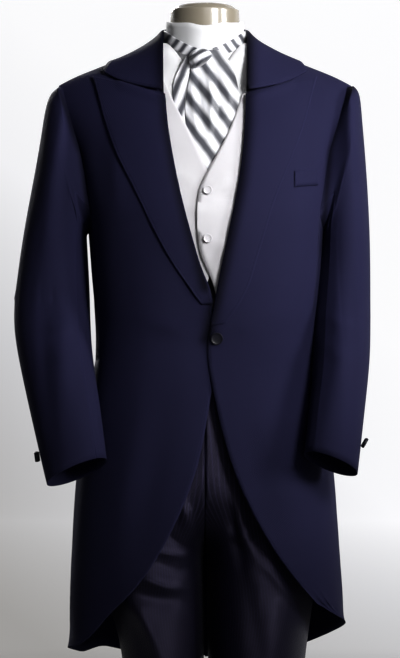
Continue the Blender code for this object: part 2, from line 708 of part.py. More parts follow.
def sleeve(side):
    suffix = "left" if side > 0 else "right"
    outer = sleeve_rings(side)
    normals = grid_normals(outer, closed=True)
    normals = turned_out(normals, outer, outer.mean(axis=1, keepdims=True))
    inner = (outer - normals * WOOL) * (side, 1, 1)
    outer = outer * (side, 1, 1)
    seam = SLEEVE_SEAM_STEPS
    count = outer.shape[1]
    for name, first, last in (("top", -seam, seam), ("under", seam, count - seam)):
        grids = part_of_tube(outer, inner, first, last)
        if name == "top" and side < 0:
            upper, lower = in_two_lengths(grids, ELBOW_RING)
            wall(f"coat_{name}_sleeve_{suffix}_upper", *upper, COAT)
            wall(f"coat_{name}_sleeve_{suffix}_lower", *lower, COAT)
        else:
            wall(f"coat_{name}_sleeve_{suffix}", *grids, COAT)


WELT = {"inner": (0.1425, 1.3895), "outer": (0.1800, 1.3940), "height": 0.0250, "thick": 0.0022}


def patch(name, place, columns, rows, lift, thick, finish):
    """A wall that lies on the coat's front: place(u, v) gives each point in the front view."""
    grids = []
    for inset in (-lift - thick, -lift):
        grids.append([
            [front_point(*place(u, v), inset) for u in np.linspace(0, 1, columns + 1)]
            for v in np.linspace(0, 1, rows + 1)
        ])
    return wall(name, *grids, finish)


def chest_welt():
    def place(u, v):
        x = blend(WELT["inner"][0], WELT["outer"][0], u)
        return x, blend(WELT["inner"][1], WELT["outer"][1], u) + WELT["height"] * v
    return patch("coat_chest_welt", place, 6, 1, 2 * SEAM, WELT["thick"], COAT)


def button(name, centre, facing, radius, thick, finish):
    """A turned button with a raised rim, its back at centre, facing along a direction."""
    facing = np.array(facing, dtype=float)
    facing /= np.linalg.norm(facing)
    side = np.cross(facing, (0, 0, 1))
    side /= np.linalg.norm(side)
    up = np.cross(side, facing)
    profile = ((0.80, 0.0), (1.0, 0.35), (1.0, 0.75), (0.90, 1.0), (0.72, 0.80), (0.30, 0.72))
    rings = []
    for share, rise in profile:
        rings.append([
            np.array(centre) + facing * thick * rise
            + radius * share * (side * math.cos(a) + up * math.sin(a))
            for a in np.linspace(0, 2 * math.pi, 16, endpoint=False)
        ])
    return solid_of_rings(name, rings, finish)


BUTTON_LIFT = 0.0009   # a button's back stands this far off the cloth
CUFF_BUTTON_RADIUS = 0.0088
# Each cuff's button: its height over the edge as a share of the way to the ring above, how far
# its face is turned up, and its thickness.
CUFF_BUTTON = {
    +1: {"rise": 0.54, "tilt": -0.45, "thick": 0.0060},
    -1: {"rise": 0.40, "tilt": 0.10, "thick": 0.0085},
}


def surface_normal(angle, level):
    """Direction out of the coat's surface."""
    across = ring_point(angle + 3, level) - ring_point(angle - 3, level)
    up = ring_point(angle, level + 0.02) - ring_point(angle, level - 0.02)
    normal = np.cross(across, up)
    return normal / np.linalg.norm(normal)


def coat_buttons():
    level = 1.150 - ARMPIT_Z
    angle = math.degrees(math.asin(0.0185 / half_width(level)))
    normal = surface_normal(angle, level)
    button("coat_button_front", ring_point(angle, level) + normal * BUTTON_LIFT, normal,
           0.0100, 0.0042, HORN)
    for side, name in ((1, "left"), (-1, "right")):
        level = WAIST_Z - 0.001 - ARMPIT_Z
        angle = BACK_SEAM.read("angle", WAIST_Z) + 8.0
        normal = surface_normal(angle, level)
        spot = ring_point(angle, level) + normal * BUTTON_LIFT
        button(f"coat_button_back_{name}", mirrored(spot, side), mirrored(normal, side),
               0.0095, 0.0040, HORN)
        rings = sleeve_rings(side)
        normals = turned_out(grid_normals(rings, closed=True), rings,
                             rings.mean(axis=1, keepdims=True))
        cuff = CUFF_BUTTON[side]
        spot = blend(rings[-1, 0], rings[-2, 0], cuff["rise"])
        facing = normals[-1, 0] + np.array([0, 0, cuff["tilt"]])
        facing /= np.linalg.norm(facing)
        lift = SEAM + 0.8 * CUFF_BUTTON_RADIUS * math.sqrt(1 - (facing @ normals[-1, 0]) ** 2)
        button(f"coat_button_cuff_{name}", mirrored(spot + normals[-1, 0] * lift, side),
               mirrored(facing, side), CUFF_BUTTON_RADIUS, cuff["thick"], HORN)


# The waistcoat and the shirt's front lie under the coat, and the form under them. Each layer's
# depth below the coat's outer surface grows less towards the shoulder, where they all rest.
LAYERS = Table(
    "level vest shirt form",
    (-0.24, 0.0080, 0.0160, 0.0215),
    (0.00, 0.0080, 0.0165, 0.0185),
    (0.45, 0.0080, 0.0158, 0.0177),
    (0.80, 0.0068, 0.0128, 0.0158),
    (0.92, 0.0060, 0.0112, 0.0140),
    (1.00, 0.0050, 0.0105, 0.0070),
)
# The waistcoat fronts' edges from the hem up the middle and along the neck, each towards its own
# side: the left front laps over the right one.
VEST_EDGE = {
    +1: Table(
        "z x",
        (1.160, 0.0366), (1.194, 0.0268), (1.223, 0.0191), (1.255, 0.0091), (1.271, -0.0041),
        (1.286, -0.0125), (1.388, -0.0112), (1.417, 0.0045), (1.4575, 0.0263), (1.489, 0.0420),
        (1.505, 0.0495), (1.550, 0.0610), (1.595, 0.0765), (1.620, 0.0850),
    ),
    -1: Table(
        "z x",
        (1.160, 0.0293), (1.194, 0.0177), (1.223, 0.0051), (1.259, -0.0113), (1.295, -0.0152),
        (1.388, -0.0152), (1.417, -0.0045), (1.450, 0.0100), (1.4813, 0.0238), (1.517, 0.0426),
        (1.548, 0.0586), (1.595, 0.0770), (1.620, 0.0850),
    ),
}
VEST_HEM = 1.190
VEST_POINT_X = 0.045   # the hem's point in front
VEST_POINT_DROP = 0.028
VEST_NECKLINE = 0.0750 # distance of its back neck edge from the neck's axis
VEST_ARM = Table("level angle", (0.0, 90.0), (0.1, 74.0), (0.3, 60.0), (0.6, 46.0), (1.0, 38.0))
VEST_STEPS = 8
VEST_GAPE = 0.0035     # the left front's edge stands off this far between its buttons
GAPE_REACH = 0.018     # the gape dies out this far above and below its middle
VEST_BUTTON_Z = (1.383, 1.307)
VEST_BUTTON_X = 0.0040


def vest_levels():
    return [*np.linspace(VEST_HEM - ARMPIT_Z, 0.0, 6)[:-1], *ARMHOLE_LEVELS]


def vest_front(side):
    name = "waistcoat_front_left" if side > 0 else "waistcoat_front_right"
    levels = vest_levels()
    outer, inner = [], []
    for level in levels:
        x = 0.0
        for _ in range(12):
            x = VEST_EDGE[side].read("x", height(x, level))
        inset = LAYERS.read("vest", level)
        start = math.degrees(math.asin(x / (half_width(level) - inset)))
        end = VEST_ARM.read("angle", level) - SEAM_ANGLE
        rows = ([], [])
        for angle in np.linspace(start, end, VEST_STEPS + 1):
            here_x = half_width(level) * math.sin(math.radians(angle))
            sunk, here = inset, level
            if side < 0:
                sunk += UNDERLAP * (1 - ramp(here_x, 0.02, 0.07))
            else:
                middle = sum(VEST_BUTTON_Z) / 2
                gap = math.exp(-((height(x, level) - middle) / GAPE_REACH) ** 2)
                sunk -= VEST_GAPE * gap * (1 - ramp(here_x, x, x + 0.022))
            if level < 0:
                dip = VEST_POINT_DROP * math.exp(-((here_x - VEST_POINT_X) / 0.035) ** 2)
                here -= dip * ramp(-level, 0.05, -levels[0])
            for row, extra in zip(rows, (0.0, SATIN)):
                row.append(ring_point(angle, here, sunk + extra))
        outer.append(mirrored(rows[0], side))
        inner.append(mirrored(rows[1], side))
    return wall(name, outer, inner, VEST)


def vest_back():
    """Plain back of the waistcoat, from side seam to side seam, with its neck and armholes."""
    outer, inner = [], []
    for level in vest_levels():
        arm = 180 - VEST_ARM.read("angle", level) + SEAM_ANGLE
        rows = ([], [])
        for angle in np.linspace(-arm, arm, 15)[::-1]:
            turn = math.copysign(180 - abs(angle) * (180 - arm) / arm, angle) if angle else 180.0
            x = half_width(max(level, 0.0)) * abs(math.sin(math.radians(turn)))
            top = neckline_level(x, VEST_NECKLINE)
            here = level * top if level > 0 else level
            inset = LAYERS.read("vest", here)
            hand = math.copysign(1, turn)
            for row, extra in zip(rows, (0.0, SATIN)):
                row.append(mirrored(ring_point(abs(turn), here, inset + extra), hand))
        outer.append(rows[0])
        inner.append(rows[1])
    return wall("waistcoat_back", outer, inner, VEST)


def vest_buttons():
    for z, place in zip(VEST_BUTTON_Z, ("top", "low")):
        depth = LAYERS.read("vest", level_of(VEST_BUTTON_X, z)) - BUTTON_LIFT
        spot = front_point(VEST_BUTTON_X, z, depth)
        button(f"waistcoat_button_{place}", spot, (0.03, -1, 0.05), 0.0072, 0.0036, VEST)


# The shirt's front as far as it shows: its half width by height.
BIB = Table(
    "z half_width",
    (1.372, 0.045), (1.420, 0.070), (1.500, 0.088), (1.550, 0.086), (1.570, 0.076),
)
BIB_SIDE_RISE = 0.030  # its top edge rises this much from the throat to the sides of the neck
COLLAR_GAP = 0.0013    # the shirt's collar stands this far off the neck
SHIRT_COLLAR = {"foot_front": 1.573, "foot_side": 1.612, "top_front": 1.650, "top_side": 1.674}


def bib():
    outer, inner = [], []
    for share in np.linspace(0, 1, 9):
        middle_z = blend(BIB.rows[0, 0], BIB.rows[-1, 0], share)
        half = BIB.read("half_width", middle_z)
        rows = ([], [])
        for x in np.linspace(-half, half, 15):
            z = middle_z + BIB_SIDE_RISE * ramp(abs(x), 0.012, 0.062) * share ** 2
            depth = LAYERS.read("shirt", level_of(x, z))
            rows[0].append(front_point(x, z, depth))
            rows[1].append(front_point(x, z, depth + LINEN))
        outer.append(rows[0])
        inner.append(rows[1])
    return wall("shirt_front", outer, inner, SHIRT)


def neck_point(turn, z, out):
    """Point round the neck: turn is 0 in front, 90 on the wearer's left and 180 behind."""
    a = math.radians(turn)
    across, deep = NECK_RADIUS
    return np.array([(across + out) * math.sin(a), NECK_Y - (deep + out) * math.cos(a), z])


def shirt_collar():
    """A tall stand collar; its left end laps over the right one with a slanting edge."""
    outer, inner = [], []
    for share in (0.0, 0.5, 1.0):
        rows = ([], [])
        for turn in np.linspace(-4, 368 + 20 * share, 37):
            side = math.sin(math.radians(min(abs((turn + 180) % 360 - 180), 90))) ** 1.5
            foot = blend(SHIRT_COLLAR["foot_front"], SHIRT_COLLAR["foot_side"], side)
            top = blend(SHIRT_COLLAR["top_front"], SHIRT_COLLAR["top_side"], side)
            rise = 2 * LINEN * ramp(turn, 316, 343)
            z = blend(foot, top, share)
            rows[0].append(neck_point(turn, z, COLLAR_GAP + rise + LINEN))
            rows[1].append(neck_point(turn, z, COLLAR_GAP + rise))
        outer.append(rows[0])
        inner.append(rows[1])
    return wall("shirt_collar", outer, inner, SHIRT)


BAND_HEIGHT = 0.019
BAND_FOOT_FRONT = 1.594
BAND_FOOT_SIDE = 1.631
BAND_OUT = COLLAR_GAP + LINEN + SEAM


def ascot_band():
    """The band round the collar's foot, lower in front, closed under the knot."""
    outer, inner = [], []
    for share in (0.0, 0.5, 1.0):
        rows = ([], [])
        for turn in np.linspace(12, 348, 33):
            side = math.sin(math.radians(min(abs((turn + 180) % 360 - 180), 90))) ** 2
            z = blend(BAND_FOOT_FRONT, BAND_FOOT_SIDE, side) + BAND_HEIGHT * share
            swell = 0.0004 * math.sin(math.pi * share)
            out = BAND_OUT + 0.0026 * ramp(abs(turn - 180), 120, 155)
            rows[0].append(neck_point(turn, z, out + SATIN + swell))
            rows[1].append(neck_point(turn, z, out))
        outer.append(rows[0])
        inner.append(rows[1])
    return wall("ascot_band", outer, inner, STRIPE)


# The ascot's blades in the front view, from under the knot down: left and right edge, and how far
# the middle and the edges stand off the shirt.
MAIN_BLADE = Table(
    "z left right middle edge",
    (1.3850, -0.0040, 0.0180, 0.0004, 0.0004),
    (1.4170, -0.0080, 0.0230, 0.0006, 0.0004),
    (1.4575, -0.0220, 0.0380, 0.0016, 0.0004),
    (1.4890, -0.0310, 0.0500, 0.0044, 0.0005),
    (1.5173, -0.0325, 0.0549, 0.0074, 0.0016),
    (1.5425, -0.0287, 0.0544, 0.0084, 0.0030),
    (1.5630, -0.0256, 0.0506, 0.0074, 0.0040),
    (1.5770, -0.0232, 0.0461, 0.0010, 0.0010),
    (1.5906, -0.0215, 0.0398, 0.0030, 0.0030),
    (1.6107, -0.0180, 0.0270, 0.0030, 0.0030),
)
NARROW_BLADE = Table(
    "z left right middle edge",
    (1.4400, -0.0320, -0.0245, 0.0008, 0.0008),
    (1.4640, -0.0370, -0.0280, 0.0010, 0.0010),
    (1.4875, -0.0420, -0.0318, 0.0010, 0.0010),
    (1.5170, -0.0500, -0.0334, 0.0016, 0.0008),
    (1.5487, -0.0528, -0.0292, 0.0040, 0.0014),
    (1.5678, -0.0482, -0.0262, 0.0040, 0.0024),
    (1.5860, -0.0385, -0.0236, 0.0030, 0.0030),
    (1.6010, -0.0290, -0.0212, 0.0030, 0.0030),
)
HANG_Y = -0.0548       # the blades' tops hang from the knot, this far in front of the middle


def blade(name, table, columns):
    outer, inner = [], []
    for z in table.rows[:, 0]:
        left, right, middle, edge = table.row(z)
        for grid, thick in ((outer, SATIN), (inner, 0.0)):
            line = []
            for u in np.linspace(-1, 1, columns + 1):
                x = blend(left, right, (u + 1) / 2)
                shirt = LAYERS.read("shirt", level_of(x, z))
                point = front_point(x, z, shirt - blend(middle, edge, abs(u) ** 1.5) - thick)
                point[1] = min(point[1], HANG_Y - thick)
                line.append(point)
            grid.append(line)
    return wall(name, outer, inner, STRIPE)


KNOT = {"centre": (-0.0065, 1.5950), "half": (0.0200, 0.0183), "back_y": -0.0568, "depth": 0.019}


def ascot_knot():
    """The crossed folds in front of the collar, as one soft lump with a flat back."""
    rings = []
    for share in (0.0, 0.35, 0.7, 0.92, 1.0):
        size = math.sqrt(max(1 - share ** 2, 0.0)) * 0.85 + 0.15
        rings.append([
            (KNOT["centre"][0] + KNOT["half"][0] * size * math.cos(a)
             * (1 + 0.10 * math.sin(a)),
             KNOT["back_y"] - KNOT["depth"] * share,
             KNOT["centre"][1] + KNOT["half"][1] * size * math.sin(a))
            for a in np.linspace(0, 2 * math.pi, 20, endpoint=False)
        ])
    return solid_of_rings("ascot_knot", rings, STRIPE)


# The trousers, by height: the half width and depths at the hips, then each leg's middle, half
# width, middle from front to back and half depth. hips is 1 where both legs are one ring.
TROUSERS = Table(
    "z hips hip_half front back middle half y depth",
    (0.030, 0.0, 0.180, 0.110, 0.120, 0.0850, 0.0580, 0.006, 0.0640),
    (0.100, 0.0, 0.180, 0.110, 0.120, 0.0850, 0.0585, 0.008, 0.0650),
    (0.250, 0.0, 0.180, 0.110, 0.120, 0.0850, 0.0600, 0.010, 0.0680),
    (0.450, 0.0, 0.180, 0.110, 0.120, 0.0820, 0.0660, 0.004, 0.0720),
    (0.630, 0.0, 0.180, 0.110, 0.120, 0.0820, 0.0760, 0.000, 0.0840),
    (0.740, 0.0, 0.182, 0.112, 0.122, 0.0900, 0.0860, 0.000, 0.0940),
    (0.790, 0.02, 0.184, 0.112, 0.124, 0.0935, 0.0905, 0.000, 0.0990),
    (0.830, 0.45, 0.186, 0.112, 0.126, 0.0945, 0.0925, 0.000, 0.1020),
    (0.880, 0.90, 0.187, 0.111, 0.127, 0.0945, 0.0925, 0.000, 0.1020),
    (0.920, 1.0, 0.186, 0.110, 0.126, 0.0945, 0.0925, 0.000, 0.1020),
    (1.000, 1.0, 0.176, 0.109, 0.118, 0.0900, 0.0880, 0.000, 0.1000),
    (1.080, 1.0, 0.161, 0.108, 0.104, 0.0900, 0.0880, 0.000, 0.1000),
    (1.150, 1.0, 0.1535, 0.1055, 0.0985, 0.0900, 0.0880, 0.000, 0.1000),
)
LEG_SHIFT = {-1: -0.0155, +1: 0.001}   # each knee hangs a little to the viewer's right
LEG_THIN = {-1: 0.86, +1: 1.03}
TROUSER_TOP = 1.150
TROUSER_HEIGHTS = (
    0.030, 0.140, 0.300, 0.450, 0.560, 0.640, 0.710, 0.760, 0.795, 0.820, 0.850, 0.890, 0.960,
    1.050, 1.150,
)
HALF_STEPS = 8         # columns of each front and each back
CREASE = 0.0035


def trouser_section(side, z):
    """One leg's ring at a height, from the middle in front round its side to the middle behind."""
    hips, hip_half, front, back, middle, half, y, depth = TROUSERS.row(z)
    loose = ramp(z, 0.25, 0.55) * (1 - ramp(z, 0.66, 0.80))
    middle += LEG_SHIFT[side] * loose
    half *= blend(1.0, LEG_THIN[side], loose)
    points = []
    for s in np.linspace(0, 2, 2 * HALF_STEPS + 1):
        a = math.radians(90 * s)
        hip = np.array([hip_half * math.sin(a), -(front if s < 1 else back) * math.cos(a)])
        crease = CREASE * math.exp(-(((s if s < 1 else 2 - s) - 0.5) / 0.10) ** 2)
        b = math.pi * s
        leg = np.array([
            middle - half * math.cos(b),
            y - (depth + crease * (1 - hips)) * math.sin(b),
        ])
        x, here_y = blend(leg, hip, hips)
        points.append((x, here_y, z))
    return points


def trousers(side):
    suffix = "left" if side > 0 else "right"
    outer = np.array([trouser_section(side, z - (SEAM if z == TROUSER_TOP else 0))
                      for z in TROUSER_HEIGHTS])
    normals = grid_normals(outer)
    normals = turned_out(normals, outer, outer.mean(axis=1, keepdims=True))
    for i, z in enumerate(TROUSER_HEIGHTS):
        hips = TROUSERS.read("hips", z)
        for j, facing in ((0, -1.0), (-1, 1.0)):
            normal = np.array([-(1 - hips), facing * hips, 0.0])
            normals[i, j] = normal / np.linalg.norm(normal)
    inner = outer - normals * WOOL
    mid = HALF_STEPS
    for name, first, last in (("front", 0, mid), ("back", mid, 2 * mid)):
        cut = []
        for grid in (outer, inner):
            piece = grid[:, first:last + 1].copy()
            for edge, step in ((0, 1), (-1, -1)):
                run = piece[:, edge + step] - piece[:, edge]
                run /= np.linalg.norm(run, axis=1, keepdims=True)
                piece[:, edge] += run * SEAM / 2
            piece[:, :, 0] = np.maximum(piece[:, :, 0], SEAM / 2)
            cut.append(piece * (side, 1, 1))
        wall(f"trouser_{name}_{suffix}", *cut, TROUSER)


BAND_TOP = 1.186
BAND_THICK = 0.0022


def waistband():
    outer, inner = [], []
    _, half, front, back, *_ = TROUSERS.row(TROUSER_TOP)
    for z in (TROUSER_TOP, BAND_TOP):
        for grid, inset in ((outer, 0.0), (inner, BAND_THICK)):
            row = []
            for a in np.linspace(0, 2 * math.pi, 40, endpoint=False):
                depth = (front if math.cos(a) > 0 else back) - inset
                row.append(((half - inset) * math.sin(a), -depth * math.cos(a), z))
            grid.append(row)
    return wall("trouser_waistband", outer, inner, TROUSER, closed=True)


# The form's torso below the armpit, by height: half width, depth to the front and to the back.
FORM = Table(
    "z half_width front back",
    (0.905, 0.152, 0.086, 0.098),
    (0.920, 0.160, 0.091, 0.103),
    (0.960, 0.164, 0.095, 0.106),
    (1.050, 0.156, 0.098, 0.100),
    (1.150, 0.1508, 0.1028, 0.0958),
    (1.186, 0.1508, 0.1028, 0.0958),
    (1.260, 0.162, 0.112, 0.106),
    (1.330, 0.168, 0.1218, 0.112),
)
FORM_SHOULDER = Table(
    "level half_width",
    (0.00, 0.168), (0.30, 0.172), (0.60, 0.180), (0.85, 0.190), (1.00, 0.196),
)
FORM_STEPS = 28
FORM_NECK_DROP = 0.004 # its shoulders are this much lower beside the neck
FORM_FOOT_Z = 0.905
NECK_FOOT_Z = 1.575
NECK_SEAT = 0.0060     # the seat that is cut into the torso is this much wider than the neck
NECK_TOP_Z = 1.694


def form_torso():
    rings = []
    for z in (FORM_FOOT_Z, 0.920, 0.960, 1.050, 1.150, 1.186, 1.260, 1.320):
        half, front, back = FORM.row(z)
        ring = []
        for a in np.linspace(0, 2 * math.pi, FORM_STEPS, endpoint=False):
            depth = front if math.cos(a) > 0 else back
            ring.append((half * math.sin(a), -depth * math.cos(a), z))
        rings.append(ring)
    for level in ARMHOLE_LEVELS[1:]:
        inset = LAYERS.read("form", level)
        half = FORM_SHOULDER.read("half_width", level)
        ring = []
        for a in np.linspace(0, 2 * math.pi, FORM_STEPS, endpoint=False):
            x = half * math.sin(a)
            front = math.cos(a) > 0.001
            drop = FORM_NECK_DROP * (1 - ramp(abs(x), 0.08, 0.11))
            point = torso_point(abs(x), level, front, inset + drop)
            side = math.sqrt(max(1 - (abs(x) / half) ** 2.4, 0.0))
            middle = SHOULDER_Y * level
            y = middle + (point[1] - middle) * min(side * 1.25, 1.0)
            ring.append((x, y, point[2]))
        rings.append(ring)

    def build(shape):
        rows = [[shape.verts.new(p) for p in ring] for ring in rings]
        for low, high in zip(rows, rows[1:]):
            for j in range(FORM_STEPS):
                k = (j + 1) % FORM_STEPS
                shape.faces.new((low[j], low[k], high[k], high[j]))
        shape.faces.new(rows[0])
        top = rows[-1]
        for j in range(FORM_STEPS // 4):
            k = FORM_STEPS // 2 - j
            for near, far, flip in ((j, k, 1), (-j, -k, -1)):
                face = (top[near], top[near + flip], top[far - flip], top[far])
                if len(set(face)) > 2:
                    shape.faces.new(dict.fromkeys(face))

    torso = add_object("form_torso", build, JERSEY)
    bpy.ops.mesh.primitive_cylinder_add(
        vertices=32, radius=1.0, depth=0.2, location=(0, NECK_Y, NECK_FOOT_Z + 0.1 - SEAM))
    cutter = bpy.context.object
    cutter.name = "neck_cutter"
    cutter.scale = (NECK_RADIUS[0] + NECK_SEAT, NECK_RADIUS[1] + NECK_SEAT, 1.0)
    bpy.ops.object.transform_apply(scale=True)
    cutter.hide_render = True
    cutter.display_type = "WIRE"
    cut = torso.modifiers.new("neck seat", "BOOLEAN")
    cut.object = cutter
    cut.operation = "DIFFERENCE"
    return torso


def form_neck():
    """A lacquered neck with a rounded cap."""
    profile = [(1.0, NECK_FOOT_Z), (1.0, 1.630)]
    radius = NECK_TOP_Z - 1.680
    profile += [(1 - (radius / NECK_RADIUS[0]) * (1 - math.cos(a)), 1.680 + radius * math.sin(a))
                for a in np.radians((0, 30, 60, 85))]
    rings = [
        [(NECK_RADIUS[0] * share * math.sin(a), NECK_Y - NECK_RADIUS[1] * share * math.cos(a), z)
         for a in np.linspace(0, 2 * math.pi, 32, endpoint=False)]
        for share, z in profile
    ]
    return solid_of_rings("form_neck", rings, NECK)


POLE_X = -0.085
POLE_RADIUS = 0.0125
BASE_RADIUS = 0.190
BASE_THICK = 0.009


def turned(name, centre, profile, steps, finish):
    """A round solid from (radius, height) pairs, bottom first."""
    rings = [
        [(centre[0] + radius * math.cos(a), centre[1] + radius * math.sin(a), z)
         for a in np.linspace(0, 2 * math.pi, steps, endpoint=False)]
        for radius, z in profile
    ]
    return solid_of_rings(name, rings, finish)


def stand():
    edge = 0.0015
    turned("form_base", (0, 0), (
        (BASE_RADIUS - edge, 0.0), (BASE_RADIUS, edge), (BASE_RADIUS, BASE_THICK - edge),
        (BASE_RADIUS - edge, BASE_THICK),
    ), 48, STEEL)
    turned("form_pole", (POLE_X, 0), (
        (0.022, BASE_THICK + SEAM), (0.022, BASE_THICK + 0.008), (POLE_RADIUS, BASE_THICK + 0.012),
        (POLE_RADIUS, FORM_FOOT_Z - SEAM),
    ), 20, STEEL)


for front_side in (1, -1):
    forepart(front_side)
    lapel(front_side)
    side_body(front_side)
    back(front_side)
    skirt(front_side)
    sleeve(front_side)
    vest_front(front_side)
    trousers(front_side)
collar()
chest_welt()
coat_buttons()
vest_back()
vest_buttons()
bib()
shirt_collar()
ascot_band()
blade("ascot_main_blade", MAIN_BLADE, 8)
blade("ascot_narrow_blade", NARROW_BLADE, 4)
ascot_knot()
waistband()
form_torso()
form_neck()
stand()
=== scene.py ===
import math

import bmesh
import bpy
import numpy as np
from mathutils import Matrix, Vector, kdtree


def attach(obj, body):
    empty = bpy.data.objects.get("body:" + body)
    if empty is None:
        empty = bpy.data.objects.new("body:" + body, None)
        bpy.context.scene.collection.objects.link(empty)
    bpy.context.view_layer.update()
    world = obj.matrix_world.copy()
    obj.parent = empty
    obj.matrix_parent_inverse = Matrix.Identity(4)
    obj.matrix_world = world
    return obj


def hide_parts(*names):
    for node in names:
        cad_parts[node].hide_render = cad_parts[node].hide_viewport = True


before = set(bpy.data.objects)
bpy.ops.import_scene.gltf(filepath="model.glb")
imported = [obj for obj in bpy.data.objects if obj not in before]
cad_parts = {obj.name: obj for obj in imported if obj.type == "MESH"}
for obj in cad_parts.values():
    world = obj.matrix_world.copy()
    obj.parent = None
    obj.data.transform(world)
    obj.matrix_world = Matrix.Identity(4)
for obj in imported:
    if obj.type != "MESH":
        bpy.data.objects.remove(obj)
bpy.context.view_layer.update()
scene = bpy.context.scene

# Camera
# A long lens level with the waist, straight in front, as the clothes were photographed.
camera = bpy.data.objects.new("camera", bpy.data.cameras.new("camera"))
scene.collection.objects.link(camera)
scene.camera = camera
CAMERA_AWAY = 4.0
FRAME_HEIGHT = 1.066
SENSOR = 36.0
camera.location = (-0.008, -CAMERA_AWAY, 1.165)
camera.rotation_euler = (math.radians(90), 0, 0)
camera.data.sensor_width = SENSOR
camera.data.lens = SENSOR * CAMERA_AWAY / FRAME_HEIGHT
scene.view_settings.view_transform = "Standard"
scene.view_settings.gamma = 0.85

# Studio
# A pale paper floor that bends up into a wall behind the stand. Towards the wall the paper glows by
# itself, white above and grey low down on the wearer's right, so the lamps can be small. This glow is
# painted light: its grey low down, on the wearer's right and towards the front is painted shade
# standing in for the lamps' falloff.
STUDIO_WIDTH = 44.0
WALL_Y = 15.0
WALL_TOP = 18.0
BEND = 4.0
LEAN = 0.9
GREY_TO_WHITE = (-1.7, 2.3)
GLOW_BETWEEN = (2.5, 5.0)


def new_material(name):
    """A new material, its node tree and its Principled shader."""
    made = bpy.data.materials.new(name)
    made.use_nodes = True
    return made, made.node_tree, made.node_tree.nodes["Principled BSDF"]


def add_node(tree, kind, **settings):
    """A node whose named settings and unlinked inputs are given."""
    node = tree.nodes.new(kind)
    for key, value in settings.items():
        if key in node.inputs:
            node.inputs[key].default_value = value
        else:
            setattr(node, key, value)
    return node


def ranged(tree, value, low, high, start=0.0, stop=1.0, **settings):
    """A value from low to high, brought to run from start to stop."""
    node = add_node(tree, "ShaderNodeMapRange", **settings, **{
        "From Min": low, "From Max": high, "To Min": start, "To Max": stop})
    tree.links.new(value, node.inputs["Value"])
    return node.outputs[0]


def worked_out(tree, operation, *values):
    """A sum or comparison of numbers and outputs, in their order."""
    node = add_node(tree, "ShaderNodeMath", operation=operation)
    for socket, value in zip(node.inputs, values):
        if isinstance(value, float):
            socket.default_value = value
        else:
            tree.links.new(value, socket)
    return node.outputs[0]


def two_tones(tree, height, low, high):
    """A colour ramp along a height, with the colours of its two ends."""
    tones = add_node(tree, "ShaderNodeValToRGB")
    tones.color_ramp.elements[0].color = low
    tones.color_ramp.elements[1].color = high
    tree.links.new(height, tones.inputs[0])
    return tones


def mixed(tree, factor, low, high):
    """A colour between two colours or colour outputs."""
    node = add_node(tree, "ShaderNodeMix", data_type="RGBA")
    tree.links.new(factor, node.inputs[0])
    colours = [socket for socket in node.inputs if socket.type == "RGBA"]
    for socket, value in zip(colours, (low, high)):
        if isinstance(value, tuple):
            socket.default_value = value
        else:
            tree.links.new(value, socket)
    return [socket for socket in node.outputs if socket.type == "RGBA"][0]


def linear(*levels):
    """A screen colour, given as red, green and blue from 0 to 255, as the shader needs it."""
    return (*[((c / 255 + 0.055) / 1.055) ** 2.4 if c > 10 else c / 3294 for c in levels], 1.0)


def pick_edges(made, wanted):
    """Selects the edges whose two ends are wanted, and nothing else."""
    for face in made.data.polygons:
        face.select = False
    for vertex in made.data.vertices:
        vertex.select = wanted(vertex.co)
    for edge in made.data.edges:
        edge.select = all(made.data.vertices[i].select for i in edge.vertices)


bpy.ops.object.select_all(action="DESELECT")
bpy.ops.mesh.primitive_plane_add(size=1.0, location=(0, 0, 0))
studio = bpy.context.object
studio.name = "studio"
bpy.ops.object.mode_set(mode="EDIT")
bpy.ops.transform.resize(value=(STUDIO_WIDTH, 2 * WALL_Y, 1))
bpy.ops.object.mode_set(mode="OBJECT")
pick_edges(studio, lambda place: place.y > 1)
bpy.ops.object.mode_set(mode="EDIT")
bpy.ops.mesh.select_mode(type="EDGE")
bpy.ops.mesh.extrude_region_move(TRANSFORM_OT_translate={"value": (0, 0, WALL_TOP)})
bpy.ops.object.mode_set(mode="OBJECT")
pick_edges(studio, lambda place: place.y > 1 and place.z < 0.1)
bpy.ops.object.mode_set(mode="EDIT")
bpy.ops.mesh.bevel(offset=BEND, segments=32, affect="EDGES")
bpy.ops.object.mode_set(mode="OBJECT")
bpy.ops.object.shade_smooth()

paper, tree, shader = new_material("studio_paper")
place = add_node(tree, "ShaderNodeTexCoord")
split = add_node(tree, "ShaderNodeSeparateXYZ")
tree.links.new(place.outputs["Object"], split.inputs[0])
across, back, up = split.outputs
# Painted light: the glow's tone is darker towards the front and low down on the wearer's right, and its
# strength falls towards the front, as lamp light would fall off.
near = ranged(tree, back, 0.0, WALL_Y - BEND, -2.2, 0.0)
lean = worked_out(tree, "MULTIPLY_ADD", across, LEAN, worked_out(tree, "ADD", up, near))
tones = two_tones(
    tree, ranged(tree, lean, *GREY_TO_WHITE), linear(150, 148, 145), linear(244, 244, 245))
for position, tone in ((0.375, (200, 200, 202)), (0.7, (236, 236, 238))):
    tones.color_ramp.elements.new(position).color = linear(*tone)
glow = ranged(tree, back, *GLOW_BETWEEN, 0.25, 1.0)
lit = mixed(tree, glow, (0.0, 0.0, 0.0, 1.0), tones.outputs[0])
tree.links.new(lit, shader.inputs["Emission Color"])
shader.inputs["Emission Strength"].default_value = 1.0
shader.inputs["Base Color"].default_value = (0.30, 0.30, 0.31, 1.0)
shader.inputs["Roughness"].default_value = 0.9
shader.inputs["Specular IOR Level"].default_value = 0.2
studio.data.materials.append(paper)


